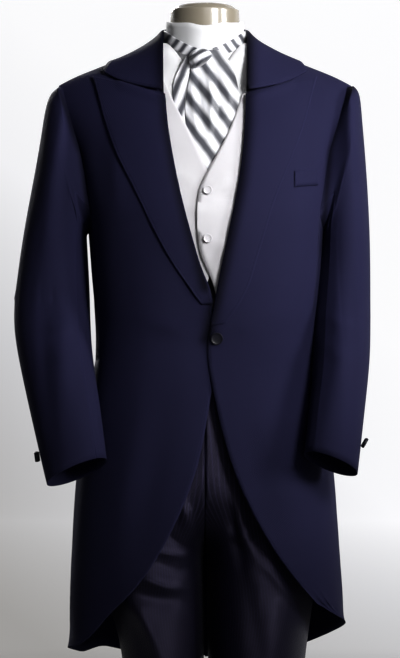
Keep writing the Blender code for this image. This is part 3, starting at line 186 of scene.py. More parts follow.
def soft_lamp(name, place, aim, size, power, spread=180):
    """An oblong lamp that faces a point, with its size and the width of its beam in degrees."""
    lamp = bpy.data.lights.new(name, "AREA")
    lamp.shape = "RECTANGLE"
    lamp.size, lamp.size_y = size
    lamp.energy = power
    lamp.spread = math.radians(spread)
    made = bpy.data.objects.new(name, lamp)
    made.visible_camera = False
    scene.collection.objects.link(made)
    made.location = place
    away = np.array(aim) - np.array(place)
    tilt = math.atan2(math.hypot(away[0], away[1]), -away[2])
    made.rotation_euler = (tilt, 0, math.atan2(away[1], away[0]) - math.pi / 2)


soft_lamp("key_lamp", (1.20, -1.7, 2.15), (0.26, -0.1, 1.51), (0.6, 0.6), 5.8, 46)
soft_lamp("front_lamp", (0.5, -3.2, 2.7), (0.02, 0, 1.52), (1.6, 1.0), 1.0, 40)
soft_lamp("left_lamp", (-2.6, 0.6, 1.9), (0, 0, 1.3), (0.7, 1.8), 0.35)
soft_lamp("back_lamp", (-1.6, 3.4, 2.9), (0, 0, 1.2), (1.2, 1.2), 16.0, 60)
soft_lamp("side_lamp", (2.7, -1.0, 1.9), (0.36, 0.0, 1.42), (0.9, 1.3), 3.6, 24)

world = bpy.data.worlds.new("studio_air")
scene.world = world
world.use_nodes = True
air = world.node_tree.nodes["Background"]
air.inputs["Color"].default_value = (0.93, 0.95, 1.0, 1.0)
air.inputs["Strength"].default_value = 0.025

# Stand
# A round steel plate with a bevelled edge and a steel pole that rises inside the right trouser leg
# into the form. The pole has a wider foot, and both are brushed.
MERGE = 0.00002
THICKNESS = 0.004
CORNER = math.radians(140)
PAIRED = math.radians(70)
ROUNDED = math.radians(48)


def smooth_copy(name, nodes, levels, weld=MERGE, crease=60):
    """A piece with the shape of its solids: merged, made of four-sided faces and subdivided.

    Triangles within PAIRED of each other become one face, and edges up to ROUNDED look smooth.
    Edges up to THICKNESS long only cross the cloth, so the cut edges' corners are found from the
    longer ones, and where two of these meet at less than CORNER, the corner stays sharp.
    """
    bpy.ops.object.select_all(action="DESELECT")
    for node in nodes:
        copy = bpy.data.objects.new(name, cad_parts[node].data.copy())
        scene.collection.objects.link(copy)
        copy.select_set(True)
        bpy.context.view_layer.objects.active = copy
    if len(nodes) > 1:
        bpy.ops.object.join()
    piece = bpy.context.view_layer.objects.active
    piece.name = name
    piece.data.materials.clear()
    bpy.ops.object.mode_set(mode="EDIT")
    bpy.ops.mesh.select_mode(type="VERT")
    bpy.ops.mesh.select_all(action="SELECT")
    bpy.ops.mesh.remove_doubles(threshold=MERGE)
    bpy.ops.mesh.tris_convert_to_quads(face_threshold=PAIRED, shape_threshold=PAIRED)
    if weld > MERGE:
        bpy.ops.mesh.remove_doubles(threshold=weld)
    bpy.ops.object.mode_set(mode="OBJECT")
    mesh = bmesh.new()
    mesh.from_mesh(piece.data)
    if weld > MERGE:
        inside = [
            face for face in mesh.faces
            if all(len(edge.link_faces) > 2 for edge in face.edges if edge.calc_length() > THICKNESS)]
        bmesh.ops.delete(mesh, geom=inside, context="FACES_ONLY")
    sharp = mesh.edges.layers.float.new("crease_edge")
    for edge in mesh.edges:
        if len(edge.link_faces) == 2 and edge.calc_face_angle() > math.radians(crease):
            edge[sharp] = 1.0
    corner = mesh.verts.layers.float.new("crease_vert")
    for vert in mesh.verts:
        rims = [e.other_vert(vert).co - vert.co for e in vert.link_edges if e[sharp] == 1.0]
        long = [arm for arm in rims if arm.length > THICKNESS]
        if len(long) == 2 and long[0].angle(long[1]) < CORNER:
            vert[corner] = 1.0
    mesh.to_mesh(piece.data)
    mesh.free()
    rounder = piece.modifiers.new("rounder", "SUBSURF")
    rounder.levels = rounder.render_levels = levels
    rounder.boundary_smooth = "PRESERVE_CORNERS"
    bpy.ops.object.modifier_apply(modifier=rounder.name)
    bpy.ops.object.shade_smooth_by_angle(angle=ROUNDED)
    return piece


def open_group(name, inputs, outputs):
    """An empty node group with its named sockets, and the nodes where it starts and ends."""
    group = bpy.data.node_groups.new(name, "ShaderNodeTree")
    for way, sockets in (("INPUT", inputs), ("OUTPUT", outputs)):
        for socket, kind in sockets.items():
            group.interface.new_socket(socket, in_out=way, socket_type=f"NodeSocket{kind}")
    return group, add_node(group, "NodeGroupInput"), add_node(group, "NodeGroupOutput")


def grain_group():
    """Fine lines drawn out along one direction, as a brush or a loom leaves them."""
    group, start, end = open_group(
        "drawn_grain", {"Vector": "Vector", "Stretch": "Vector"}, {"Height": "Float"})
    stretch = add_node(group, "ShaderNodeVectorMath", operation="MULTIPLY")
    noise = add_node(group, "ShaderNodeTexNoise", Scale=1.0, Detail=4.0, Roughness=0.6)
    group.links.new(start.outputs["Vector"], stretch.inputs[0])
    group.links.new(start.outputs["Stretch"], stretch.inputs[1])
    group.links.new(stretch.outputs[0], noise.inputs["Vector"])
    group.links.new(noise.outputs["Fac"], end.inputs["Height"])
    return group


DRAWN_GRAIN = grain_group()


def place_group(tree, group, **inputs):
    """One of the shared groups in a material, with its own values."""
    node = tree.nodes.new("ShaderNodeGroup")
    node.node_tree = group
    for key, value in inputs.items():
        node.inputs[key].default_value = value
    return node


def spread(tree, height, low, high):
    """A height from 0 to 1 as a value between two others."""
    return ranged(tree, height, 0.0, 1.0, low, high)


def on_object(tree, *textures):
    """Lays textures by the place on the object itself, in metres."""
    place = add_node(tree, "ShaderNodeTexCoord")
    for texture in textures:
        tree.links.new(place.outputs["Object"], texture.inputs["Vector"])


def raise_surface(tree, shader, height, depth, before=None):
    """A bump of a real depth in metres on the shader's normal, over another one where given."""
    bump = add_node(tree, "ShaderNodeBump", Strength=1.0, Distance=depth)
    tree.links.new(height, bump.inputs["Height"])
    if before:
        tree.links.new(before, bump.inputs["Normal"])
    tree.links.new(bump.outputs["Normal"], shader.inputs["Normal"])
    return bump.outputs["Normal"]


steel, tree, shader = new_material("brushed_steel")
shader.inputs["Metallic"].default_value = 1.0
grain = place_group(tree, DRAWN_GRAIN, Stretch=(900.0, 900.0, 40.0))
on_object(tree, grain)
tones = two_tones(tree, grain.outputs["Height"], (0.42, 0.42, 0.43, 1), (0.62, 0.62, 0.63, 1))
tree.links.new(tones.outputs[0], shader.inputs["Base Color"])
tree.links.new(spread(tree, grain.outputs["Height"], 0.24, 0.42), shader.inputs["Roughness"])
raise_surface(tree, shader, grain.outputs["Height"], 0.00004)

for node, name in (("form_base", "stand_plate"), ("form_pole", "stand_pole")):
    piece = smooth_copy(name, [node], 2, crease=30)
    piece.data.materials.append(steel)
    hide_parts(node)
    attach(piece, "root")

# Form
# A foam torso under a tight charcoal jersey cover, with a lacquered neck whose cap is rounded.
# The cover's knit shows as fine ribs up and down, and the lacquer has a faint ripple.
jersey, tree, shader = new_material("charcoal_jersey")
knit = add_node(tree, "ShaderNodeTexWave", Scale=260.0, Distortion=0.6, bands_direction="X")
knit.inputs["Detail Scale"].default_value = 3.0
pill = add_node(tree, "ShaderNodeTexNoise", Scale=900.0, Detail=3.0)
on_object(tree, knit, pill)
tones = two_tones(tree, pill.outputs["Fac"], (0.014, 0.014, 0.016, 1), (0.034, 0.034, 0.037, 1))
tree.links.new(tones.outputs[0], shader.inputs["Base Color"])
raise_surface(tree, shader, knit.outputs["Fac"], 0.0003)
shader.inputs["Roughness"].default_value = 0.9
shader.inputs["Sheen Weight"].default_value = 0.25
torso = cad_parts["form_torso"]
torso.data.materials.clear()
torso.data.materials.append(jersey)

lacquer, tree, shader = new_material("beige_lacquer")
cloud = add_node(tree, "ShaderNodeTexNoise", Scale=14.0, Detail=3.0)
ripple = add_node(tree, "ShaderNodeTexNoise", Scale=60.0, Detail=1.0)
on_object(tree, cloud, ripple)
tones = two_tones(tree, cloud.outputs["Fac"], linear(120, 113, 99), linear(142, 135, 122))
tree.links.new(tones.outputs[0], shader.inputs["Base Color"])
tree.links.new(spread(tree, cloud.outputs["Fac"], 0.20, 0.32), shader.inputs["Roughness"])
raise_surface(tree, shader, ripple.outputs["Fac"], 0.0001)
shader.inputs["Coat Weight"].default_value = 0.4
shader.inputs["Coat Roughness"].default_value = 0.12

CAP_DEPTH = 0.012
CAP_BLEND = 0.009
CAP_DROP = 0.013
neck = smooth_copy("form_neck_lacquered", ["form_neck"], 3, crease=50)
top = max(vertex.co.z for vertex in neck.data.vertices)
cap = [vertex for vertex in neck.data.vertices if vertex.co.z > top - CAP_DEPTH]
middle = sum((vertex.co for vertex in cap), Vector()) / len(cap)
reach = max((vertex.co - middle).xy.length for vertex in cap)
for vertex in cap:
    share = min(0.96, (vertex.co - middle).xy.length / reach)
    near_top = min(1.0, (vertex.co.z - top + CAP_DEPTH) / CAP_BLEND)
    vertex.co.z -= CAP_DROP * near_top * (1 - math.sqrt(1 - share * share))
neck.data.materials.append(lacquer)
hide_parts("form_neck")
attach(neck, "root")

# Trousers
# Dark worsted with a fine thread stripe, pressed to a crease down each leg and cut with a front
# and a back panel. They hang a little long: the cloth breaks in soft folds at thigh and knee.


def points_of(piece):
    """The places of a piece's points, a row of x, y and z for each."""
    points = np.empty(len(piece.data.vertices) * 3)
    piece.data.vertices.foreach_get("co", points)
    return points.reshape(-1, 3)


def middle_line(nodes, steps=24, nearest=60, rounds=3):
    """The line up the middle of a tube of cloth: x and y at a few heights."""
    points = np.concatenate([points_of(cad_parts[node]) for node in nodes])
    heights = np.linspace(points[:, 2].min(), points[:, 2].max(), steps)
    line = []
    for z in heights:
        near = points[np.argsort(np.abs(points[:, 2] - z))[:nearest]]
        line.append([(near[:, axis].min() + near[:, axis].max()) / 2 for axis in (0, 1)])
    line = np.array(line)
    for _ in range(rounds):
        line[1:-1] = (line[:-2] + 2 * line[1:-1] + line[2:]) / 4
    return heights, line[:, 0], line[:, 1]


def outward(points, line):
    """Level directions away from the middle line, for each point."""
    heights, xs, ys = line
    away = np.stack([
        points[:, 0] - np.interp(points[:, 2], heights, xs),
        points[:, 1] - np.interp(points[:, 2], heights, ys),
        np.zeros(len(points))], axis=1)
    return away / np.maximum(np.linalg.norm(away, axis=1, keepdims=True), 1e-6)


def along_path(flat, path):
    """Distance of flat points from a path, and how far along it they lie, from 0 to 1."""
    path = np.array(path, dtype=float)
    lengths = np.linalg.norm(np.diff(path, axis=0), axis=1)
    nearest = np.full(len(flat), np.inf)
    along = np.zeros(len(flat))
    start = 0.0
    for a, b, length in zip(path, path[1:], lengths):
        t = np.clip((flat - a) @ (b - a) / length ** 2, 0, 1)
        distance = np.linalg.norm(flat - a - t[:, None] * (b - a), axis=1)
        closer = distance < nearest
        nearest[closer] = distance[closer]
        along[closer] = ((start + t * length) / lengths.sum())[closer]
        start += length
    return nearest, along


SIDES = {
    "front": (1, -1, (0, 2)), "back": (1, 1, (0, 2)), "left": (0, 1, (1, 2)), "right": (0, -1, (1, 2))}


def drape(piece, line, folds):
    """Moves both faces of the cloth out or in along its folds.

    Each fold has the side it is seen from, its half width, its rise and its path on that side. A
    side has the axis it faces along, its sign there and the two axes that its paths lie in.
    """
    points = points_of(piece)
    away = outward(points, line)
    moved = np.zeros(len(points))
    for side, width, rise, path in folds:
        axis, sign, plane = SIDES[side]
        facing = np.clip(away[:, axis] * sign, 0, 1) ** 0.5
        distance, along = along_path(points[:, plane], path)
        ends = np.sin(np.pi * np.clip(along, 0.03, 0.97)) ** 0.7
        moved += rise * np.exp(-(distance / width) ** 2) * ends * facing
    points += away * moved[:, None]
    piece.data.vertices.foreach_set("co", points.ravel())
    piece.data.update()


def lay_weave(piece, line):
    """A map of the cloth in metres: round the middle line, and up."""
    points = points_of(piece)
    away = outward(points, line)
    mean = away.mean(axis=0)
    turn = np.arctan2(away[:, 1], away[:, 0]) - math.atan2(mean[1], mean[0])
    turn = (turn + math.pi) % (2 * math.pi) - math.pi
    heights, xs, ys = line
    radius = np.hypot(points[:, 0] - np.interp(points[:, 2], heights, xs),
                      points[:, 1] - np.interp(points[:, 2], heights, ys)).mean()
    corners = np.empty(len(piece.data.loops), dtype=int)
    piece.data.loops.foreach_get("vertex_index", corners)
    weave = piece.data.uv_layers.new(name="cloth")
    weave.data.foreach_set("uv", np.stack([turn * radius, points[:, 2]], axis=1)[corners].ravel())


def ramp(value, low, high):
    """From 0 to 1, smoothly, as a value passes between two others."""
    t = min(max((value - low) / (high - low), 0), 1)
    return t * t * (3 - 2 * t)


def mark_rims(piece, stitched=None):
    """How far each point of the cloth is from the cut edges, and from the edges sewn through."""
    points = [vertex.co.copy() for vertex in piece.data.vertices]
    sharp = piece.data.attributes["crease_edge"].data
    rims = {i for edge in piece.data.edges if sharp[edge.index].value > 0.9 for i in edge.vertices}
    for name, chosen in (
            ("rim", rims), ("sewn", {i for i in rims if stitched and stitched(points[i])})):
        tree = kdtree.KDTree(len(chosen))
        for i in chosen:
            tree.insert(points[i], i)
        tree.balance()
        far = [tree.find(point)[2] if chosen else 1.0 for point in points]
        piece.data.attributes.new(name, "FLOAT", "POINT").data.foreach_set("value", far)


def weave_group():
    """Twill: fine slanting ribs, with threads that differ a little in thickness and tone."""
    group, start, end = open_group(
        "twill_weave", {"Vector": "Vector", "Ribs": "Float"},
        {"Height": "Float", "Nap": "Float", "Cloud": "Float"})
    ribs = add_node(group, "ShaderNodeTexWave", Distortion=1.2, Detail=2.0, bands_direction="DIAGONAL")
    nap = add_node(group, "ShaderNodeTexNoise", Scale=2600.0, Detail=3.0, Roughness=0.7)
    cloud = add_node(group, "ShaderNodeTexNoise", Scale=9.0, Detail=4.0, Roughness=0.55)
    for texture in (ribs, nap, cloud):
        group.links.new(start.outputs["Vector"], texture.inputs["Vector"])
    group.links.new(start.outputs["Ribs"], ribs.inputs["Scale"])
    height = worked_out(group, "MULTIPLY_ADD", nap.outputs["Fac"], 0.35, ribs.outputs["Fac"])
    group.links.new(height, end.inputs["Height"])
    group.links.new(nap.outputs["Fac"], end.inputs["Nap"])
    group.links.new(cloud.outputs["Fac"], end.inputs["Cloud"])
    return group


TWILL = weave_group()


def on_cloth(tree, *textures):
    """Lays textures along the cloth's own map, in metres."""
    weave_map = add_node(tree, "ShaderNodeUVMap", uv_map="cloth")
    for texture in textures:
        tree.links.new(weave_map.outputs[0], texture.inputs["Vector"])


worsted, tree, shader = new_material("midnight_worsted")
twill = place_group(tree, TWILL, Ribs=330.0)
stripe = add_node(tree, "ShaderNodeTexWave", Scale=78.0, Distortion=0.0, bands_direction="X")
on_cloth(tree, twill, stripe)
thread = ranged(tree, stripe.outputs["Fac"], 0.72, 0.98)
ground = mixed(tree, twill.outputs["Cloud"], (0.0012, 0.0011, 0.0034, 1), (0.0028, 0.0025, 0.0070, 1))
striped = mixed(tree, thread, ground, (0.0125, 0.0110, 0.0270, 1))
tree.links.new(striped, shader.inputs["Base Color"])
tree.links.new(spread(tree, twill.outputs["Nap"], 0.34, 0.50), shader.inputs["Roughness"])
raise_surface(tree, shader, twill.outputs["Height"], 0.00025)
shader.inputs["Sheen Weight"].default_value = 0.03
shader.inputs["Sheen Roughness"].default_value = 0.4
shader.inputs["Specular IOR Level"].default_value = 0.35
shader.inputs["Specular Tint"].default_value = (0.66, 0.60, 1.0, 1.0)

LEG_FOLDS = {
    "right": (
        ("front", 0.010, 0.0075, ((-0.050, 0.905), (-0.036, 0.880), (-0.028, 0.850), (-0.018, 0.835))),
        ("front", 0.008, -0.0050, ((-0.075, 0.840), (-0.055, 0.836), (-0.040, 0.822), (-0.022, 0.812))),
        ("front", 0.007, 0.0065, ((-0.092, 0.818), (-0.066, 0.812), (-0.046, 0.806), (-0.030, 0.800))),
        ("front", 0.009, -0.0050, ((-0.098, 0.798), (-0.070, 0.790), (-0.045, 0.782), (-0.022, 0.780))),
        ("front", 0.008, 0.0085, ((-0.108, 0.775), (-0.085, 0.766), (-0.062, 0.757), (-0.030, 0.750))),
        ("front", 0.011, -0.0060, ((-0.118, 0.752), (-0.088, 0.741), (-0.062, 0.733), (-0.036, 0.726))),
        ("front", 0.012, 0.0080, ((-0.128, 0.735), (-0.104, 0.712), (-0.086, 0.680), (-0.074, 0.640))),
        ("front", 0.013, -0.0035, ((-0.100, 0.660), (-0.086, 0.620), (-0.082, 0.560), (-0.080, 0.500))),
        ("front", 0.020, 0.0050, ((-0.118, 0.610), (-0.098, 0.570), (-0.072, 0.545), (-0.048, 0.530))),
        ("front", 0.016, 0.0040, ((-0.122, 0.470), (-0.096, 0.452), (-0.070, 0.446), (-0.044, 0.452))),
        ("back", 0.018, 0.0060, ((-0.130, 0.560), (-0.090, 0.535), (-0.050, 0.540))),
        ("back", 0.015, 0.0050, ((-0.128, 0.500), (-0.092, 0.480), (-0.052, 0.492))),
        ("front", 0.014, 0.0045, ((-0.128, 0.140), (-0.090, 0.120), (-0.050, 0.132))),
    ),
    "left": (
        ("front", 0.009, 0.0070, ((0.050, 0.905), (0.058, 0.860), (0.068, 0.830), (0.082, 0.798))),
        ("front", 0.008, -0.0045, ((0.034, 0.890), (0.044, 0.850), (0.052, 0.815), (0.060, 0.770))),
        ("front", 0.010, 0.0050, ((0.090, 0.800), (0.112, 0.775), (0.130, 0.750), (0.146, 0.730))),
        ("front", 0.010, 0.0040, ((0.028, 0.850), (0.044, 0.838), (0.060, 0.836), (0.080, 0.846))),
        ("front", 0.016, -0.0035, ((0.060, 0.780), (0.072, 0.720), (0.084, 0.650), (0.088, 0.590))),
        ("front", 0.020, 0.0050, ((0.034, 0.590), (0.060, 0.556), (0.090, 0.544), (0.126, 0.556))),
        ("front", 0.016, 0.0040, ((0.040, 0.500), (0.066, 0.474), (0.094, 0.466), (0.128, 0.480))),
        ("back", 0.018, 0.0060, ((0.130, 0.560), (0.090, 0.535), (0.050, 0.540))),
        ("back", 0.015, 0.0050, ((0.128, 0.500), (0.092, 0.480), (0.052, 0.492))),
        ("front", 0.014, 0.0045, ((0.050, 0.136), (0.086, 0.120), (0.128, 0.134))),
    ),
}
LEG_CUT = {"front": (0.30, 1.13, 0.257), "back": (0.31, 1.13, 0.257)}

for hand in ("left", "right"):
    leg = middle_line([f"trouser_front_{hand}", f"trouser_back_{hand}"])
    for panel in ("front", "back"):
        node = f"trouser_{panel}_{hand}"
        piece = smooth_copy(f"trousers_{panel}_{hand}", [node], 3)
        drape(piece, leg, LEG_FOLDS[hand])
        lay_weave(piece, leg)
        piece.data.materials.append(worsted)
        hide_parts(node)
        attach(piece, "root")
        width, length, area = LEG_CUT[panel]

waist = middle_line(["trouser_waistband"])
band = smooth_copy("trousers_waistband", ["trouser_waistband"], 2)
lay_weave(band, waist)
band.data.materials.append(worsted)
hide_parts("trouser_waistband")
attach(band, "root")

# Shirt
# A white cotton front and a tall stand collar with one slanting end lapped over the other. Both
# are of a close plain weave and pressed, so the cloth is nearly flat.
cotton, tree, shader = new_material("white_shirting")
plain = add_node(tree, "ShaderNodeTexVoronoi", Scale=1500.0, distance="CHEBYCHEV")
plain.inputs["Randomness"].default_value = 0.15
cloud = add_node(tree, "ShaderNodeTexNoise", Scale=26.0, Detail=3.0)
on_cloth(tree, plain, cloud)
tone = mixed(tree, cloud.outputs["Fac"], linear(204, 204, 207), linear(214, 214, 216))
tree.links.new(tone, shader.inputs["Base Color"])
raise_surface(tree, shader, plain.outputs["Distance"], 0.00008)
shader.inputs["Roughness"].default_value = 0.75
shader.inputs["Sheen Weight"].default_value = 0.1

chest = middle_line(["shirt_front", "waistcoat_back"])
throat = middle_line(["form_neck"])
FRONT_TOP = (1.555, 1.585)
COLLAR_TOP = (1.625, 1.665)
COLLAR_SIDE = (0.030, 0.057)
WING = (0.018, 0.058)


def fill_out(piece, wider, taller, top=FRONT_TOP):
    """Brings a piece at the throat out to the coat's collar at its sides, and raises its top."""
    for vertex in piece.data.vertices:
        x, _, z = vertex.co
        vertex.co.x += math.copysign(wider * ramp(abs(x), *COLLAR_SIDE), x)
        vertex.co.z += taller * ramp(abs(x), *WING) * ramp(z, *top)


for node, name, line, cut, filled in (
        ("shirt_front", "shirt_bib", chest, (0.20, 0.255, 0.0390), (0.005, 0.027, FRONT_TOP)),
        ("shirt_collar", "shirt_stand_collar", throat, (0.43, 0.080, 0.0260),
         (0.004, -0.011, COLLAR_TOP))):
    piece = smooth_copy(name, [node], 2)
    fill_out(piece, *filled)
    lay_weave(piece, line)
    piece.data.materials.append(cotton)
    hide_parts(node)
    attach(piece, "root")

# Waistcoat
# White satin-backed cloth, the left front lapped over the right and closed by two pale buttons.
# The cloth pulls in short soft folds towards them.
satin, tree, shader = new_material("white_satin")
fine = add_node(
    tree, "ShaderNodeTexWave", Scale=420.0, Distortion=0.8, Detail=2.0, bands_direction="X")
cloud = add_node(tree, "ShaderNodeTexNoise", Scale=16.0, Detail=4.0)
on_cloth(tree, fine, cloud)
tone = mixed(tree, cloud.outputs["Fac"], linear(178, 176, 180), linear(190, 188, 192))
tree.links.new(tone, shader.inputs["Base Color"])
tree.links.new(spread(tree, cloud.outputs["Fac"], 0.38, 0.52), shader.inputs["Roughness"])
raise_surface(tree, shader, fine.outputs["Fac"], 0.00010)
shader.inputs["Sheen Weight"].default_value = 0.2
shader.inputs["Sheen Roughness"].default_value = 0.3

VEST_FOLDS = (
    ("front", 0.007, 0.0022, ((0.006, 1.388), (0.030, 1.398), (0.056, 1.402))),
    ("front", 0.006, -0.0014, ((0.010, 1.372), (0.034, 1.374), (0.058, 1.370))),
    ("front", 0.007, 0.0020, ((0.008, 1.304), (0.028, 1.296), (0.050, 1.292))),
    ("front", 0.007, 0.0018, ((-0.014, 1.392), (-0.032, 1.402), (-0.052, 1.412))),
    ("front", 0.008, 0.0014, ((-0.016, 1.320), (-0.030, 1.326), (-0.044, 1.340))),
)
body = middle_line(["waistcoat_front_left", "waistcoat_front_right", "waistcoat_back"])
for node, cut in (
        ("waistcoat_front_left", (0.27, 0.46, 0.080)),
        ("waistcoat_front_right", (0.28, 0.46, 0.083)),
        ("waistcoat_back", (0.50, 0.43, 0.170))):
    piece = smooth_copy(f"{node}_panel", [node], 2)
    drape(piece, body, VEST_FOLDS)
    lay_weave(piece, body)
    piece.data.materials.append(satin)
    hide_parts(node)
    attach(piece, "root")

# Ascot
# Silk with broad soft stripes of charcoal on silver white. A band goes round the collar, its two
# ends cross under a small puffed knot, and the wide blade lies pleated over the narrow one.


def stripe_group():
    """Broad soft stripes at right angles to a direction, and the silk's fine ribs."""
    group, start, end = open_group(
        "soft_stripe", {"Place": "Vector", "Across": "Vector", "Start": "Float", "Period": "Float"},
        {"Dark": "Float", "Height": "Float"})
    wander = add_node(group, "ShaderNodeTexNoise", Scale=38.0, Detail=2.0)
    ribs = add_node(
        group, "ShaderNodeTexWave", Scale=900.0, Distortion=0.5, bands_direction="DIAGONAL")
    for texture in (wander, ribs):
        group.links.new(start.outputs["Place"], texture.inputs["Vector"])
    run = add_node(group, "ShaderNodeVectorMath", operation="DOT_PRODUCT")
    group.links.new(start.outputs["Place"], run.inputs[0])
    group.links.new(start.outputs["Across"], run.inputs[1])
    waver = worked_out(group, "MULTIPLY_ADD", wander.outputs["Fac"], 0.004, run.outputs["Value"])
    shift = worked_out(group, "SUBTRACT", waver, start.outputs["Start"])
    turns = worked_out(group, "DIVIDE", shift, start.outputs["Period"])
    centred = worked_out(group, "PINGPONG", turns, 0.5)
    dark = ranged(group, centred, 0.43, 0.09, interpolation_type="SMOOTHSTEP")
    group.links.new(dark, end.inputs["Dark"])
    group.links.new(ribs.outputs["Fac"], end.inputs["Height"])
    return group


SOFT_STRIPE = stripe_group()


def striped_silk(name, across, start, period, mirrored=False):
    """The ascot's silk with its stripes laid one way."""
    made, tree, shader = new_material(name)
    stripe = place_group(tree, SOFT_STRIPE, Across=across, Start=start, Period=period)
    place = add_node(tree, "ShaderNodeTexCoord").outputs["Object"]
    if mirrored:
        both = add_node(tree, "ShaderNodeVectorMath", operation="ABSOLUTE")
        tree.links.new(place, both.inputs[0])
        place = both.outputs[0]
    tree.links.new(place, stripe.inputs["Place"])
    tone = mixed(tree, stripe.outputs["Dark"], linear(232, 232, 237), linear(74, 75, 82))
    tree.links.new(tone, shader.inputs["Base Color"])
    tree.links.new(spread(tree, stripe.outputs["Height"], 0.30, 0.42), shader.inputs["Roughness"])
    raise_surface(tree, shader, stripe.outputs["Height"], 0.00008)
    shader.inputs["Sheen Weight"].default_value = 0.25
    shader.inputs["Sheen Roughness"].default_value = 0.25
    return made


SILK = {
    "blade": striped_silk("striped_silk_blade", (0.804, 0.0, 0.595), 0.9185, 0.0258),
    "narrow": striped_silk("striped_silk_narrow", (0.93, 0.0, -0.36), -0.6180, 0.0200),
    "band": striped_silk("striped_silk_band", (0.74, 0.0, 0.67), 1.1260, 0.0150, True),
    "knot": striped_silk("striped_silk_knot", (0.50, 0.0, -0.87), -1.3990, 0.0150),
}
BEHIND_BLADES = (np.array([1.2, 1.8]), np.zeros(2), np.array([0.4, 0.4]))
BLADE_FOLDS = (
    ("front", 0.0050, 0.0040, ((0.000, 1.592), (0.008, 1.560), (0.010, 1.520), (0.009, 1.470))),
    ("front", 0.0045, -0.0030, ((0.010, 1.592), (0.020, 1.562), (0.024, 1.528), (0.022, 1.490))),
    ("front", 0.0055, 0.0030, ((0.022, 1.590), (0.034, 1.560), (0.038, 1.530), (0.034, 1.495))),
    ("front", 0.0050, -0.0020, ((-0.010, 1.590), (-0.010, 1.550), (-0.006, 1.510), (0.000, 1.460))),
    ("front", 0.0050, 0.0022, ((-0.019, 1.580), (-0.021, 1.545), (-0.018, 1.510), (-0.012, 1.470))),
)
for node, name, silk, cut in (
        ("ascot_narrow_blade", "ascot_under_blade", "narrow", (0.032, 0.165, 0.0031)),
        ("ascot_main_blade", "ascot_wide_blade", "blade", (0.092, 0.235, 0.0160)),
        ("ascot_band", "ascot_neck_band", "band", (0.39, 0.022, 0.0082))):
    piece = smooth_copy(name, [node], 3)
    if silk == "band":
        fill_out(piece, 0.006, 0.0)
    drape(piece, BEHIND_BLADES, BLADE_FOLDS if silk == "blade" else ())
    piece.data.materials.append(SILK[silk])
    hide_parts(node)
    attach(piece, "root")

KNOT_X, KNOT_Z = -0.0065, 1.5945
SLANT_X, SLANT_Z = 0.60, -0.80
FULL_HALF = 0.0030
DRAWN_UP, SET_BACK = 0.62, 0.15
knot = smooth_copy("ascot_puffed_knot", ["ascot_knot"], 3, crease=80)
for vertex in knot.data.vertices:
    x, _, z = vertex.co
    below = (x - KNOT_X) * SLANT_X + (z - KNOT_Z) * SLANT_Z - FULL_HALF
    if below > 0:
        vertex.co.x -= SLANT_X * below * DRAWN_UP
        vertex.co.z -= SLANT_Z * below * DRAWN_UP
        vertex.co.y += SET_BACK * below
BEHIND_KNOT = (np.array([1.5, 1.7]), np.array([KNOT_X, KNOT_X]), np.array([-0.03, -0.03]))
drape(knot, BEHIND_KNOT, (
    ("front", 0.0022, -0.0040, ((0.014, 1.607), (0.002, 1.600), (-0.012, 1.588), (-0.020, 1.578))),
    ("front", 0.0040, 0.0016, ((0.012, 1.612), (-0.002, 1.607), (-0.018, 1.594))),
    ("front", 0.0020, -0.0030, ((-0.004, 1.616), (-0.014, 1.604), (-0.026, 1.596))),
    ("front", 0.0030, 0.0012, ((0.006, 1.600), (-0.006, 1.589), (-0.014, 1.579))),
))
knot.data.materials.append(SILK["knot"])
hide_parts("ascot_knot")
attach(knot, "root")

# Coat
# Midnight navy worsted with a soft nap. Each front is one length of cloth from the shoulder to the
# cutaway hem, so its waist seam is pressed away. Side panels, back and tails are sewn to it.
SEAM_GAP = 0.00045
STITCH_INSET = 0.0045
STITCH_HALF = 0.0004
STITCHED_BELOW = 1.20


def sewn_edge_group():
    """A row of short stitches beside a sewn edge, the dent they pull, and the edge's worn nap."""
    group, start, end = open_group(
        "sewn_edge", {"Vector": "Vector", "Rim": "Float", "Sewn": "Float"},
        {"Thread": "Float", "Worn": "Float", "Height": "Float"})
    rim, sewn = start.outputs["Rim"], start.outputs["Sewn"]
    smooth = {"interpolation_type": "SMOOTHSTEP"}
    steps = add_node(group, "ShaderNodeTexWave", Scale=95.0, bands_direction="DIAGONAL")
    group.links.new(start.outputs["Vector"], steps.inputs["Vector"])
    beside = worked_out(group, "COMPARE", sewn, STITCH_INSET, STITCH_HALF)
    taken = worked_out(group, "GREATER_THAN", steps.outputs["Fac"], 0.35)
    group.links.new(worked_out(group, "MULTIPLY", beside, taken), end.inputs["Thread"])
    group.links.new(ranged(group, rim, 0.0035, 0.0, 0.0, 0.3, **smooth), end.inputs["Worn"])
    dent = ranged(group, sewn, STITCH_INSET - 0.0015, STITCH_INSET, 1.0, 0.0, **smooth)
    back = ranged(group, sewn, STITCH_INSET, STITCH_INSET + 0.0020, **smooth)
    group.links.new(worked_out(group, "MAXIMUM", dent, back), end.inputs["Height"])
    return group


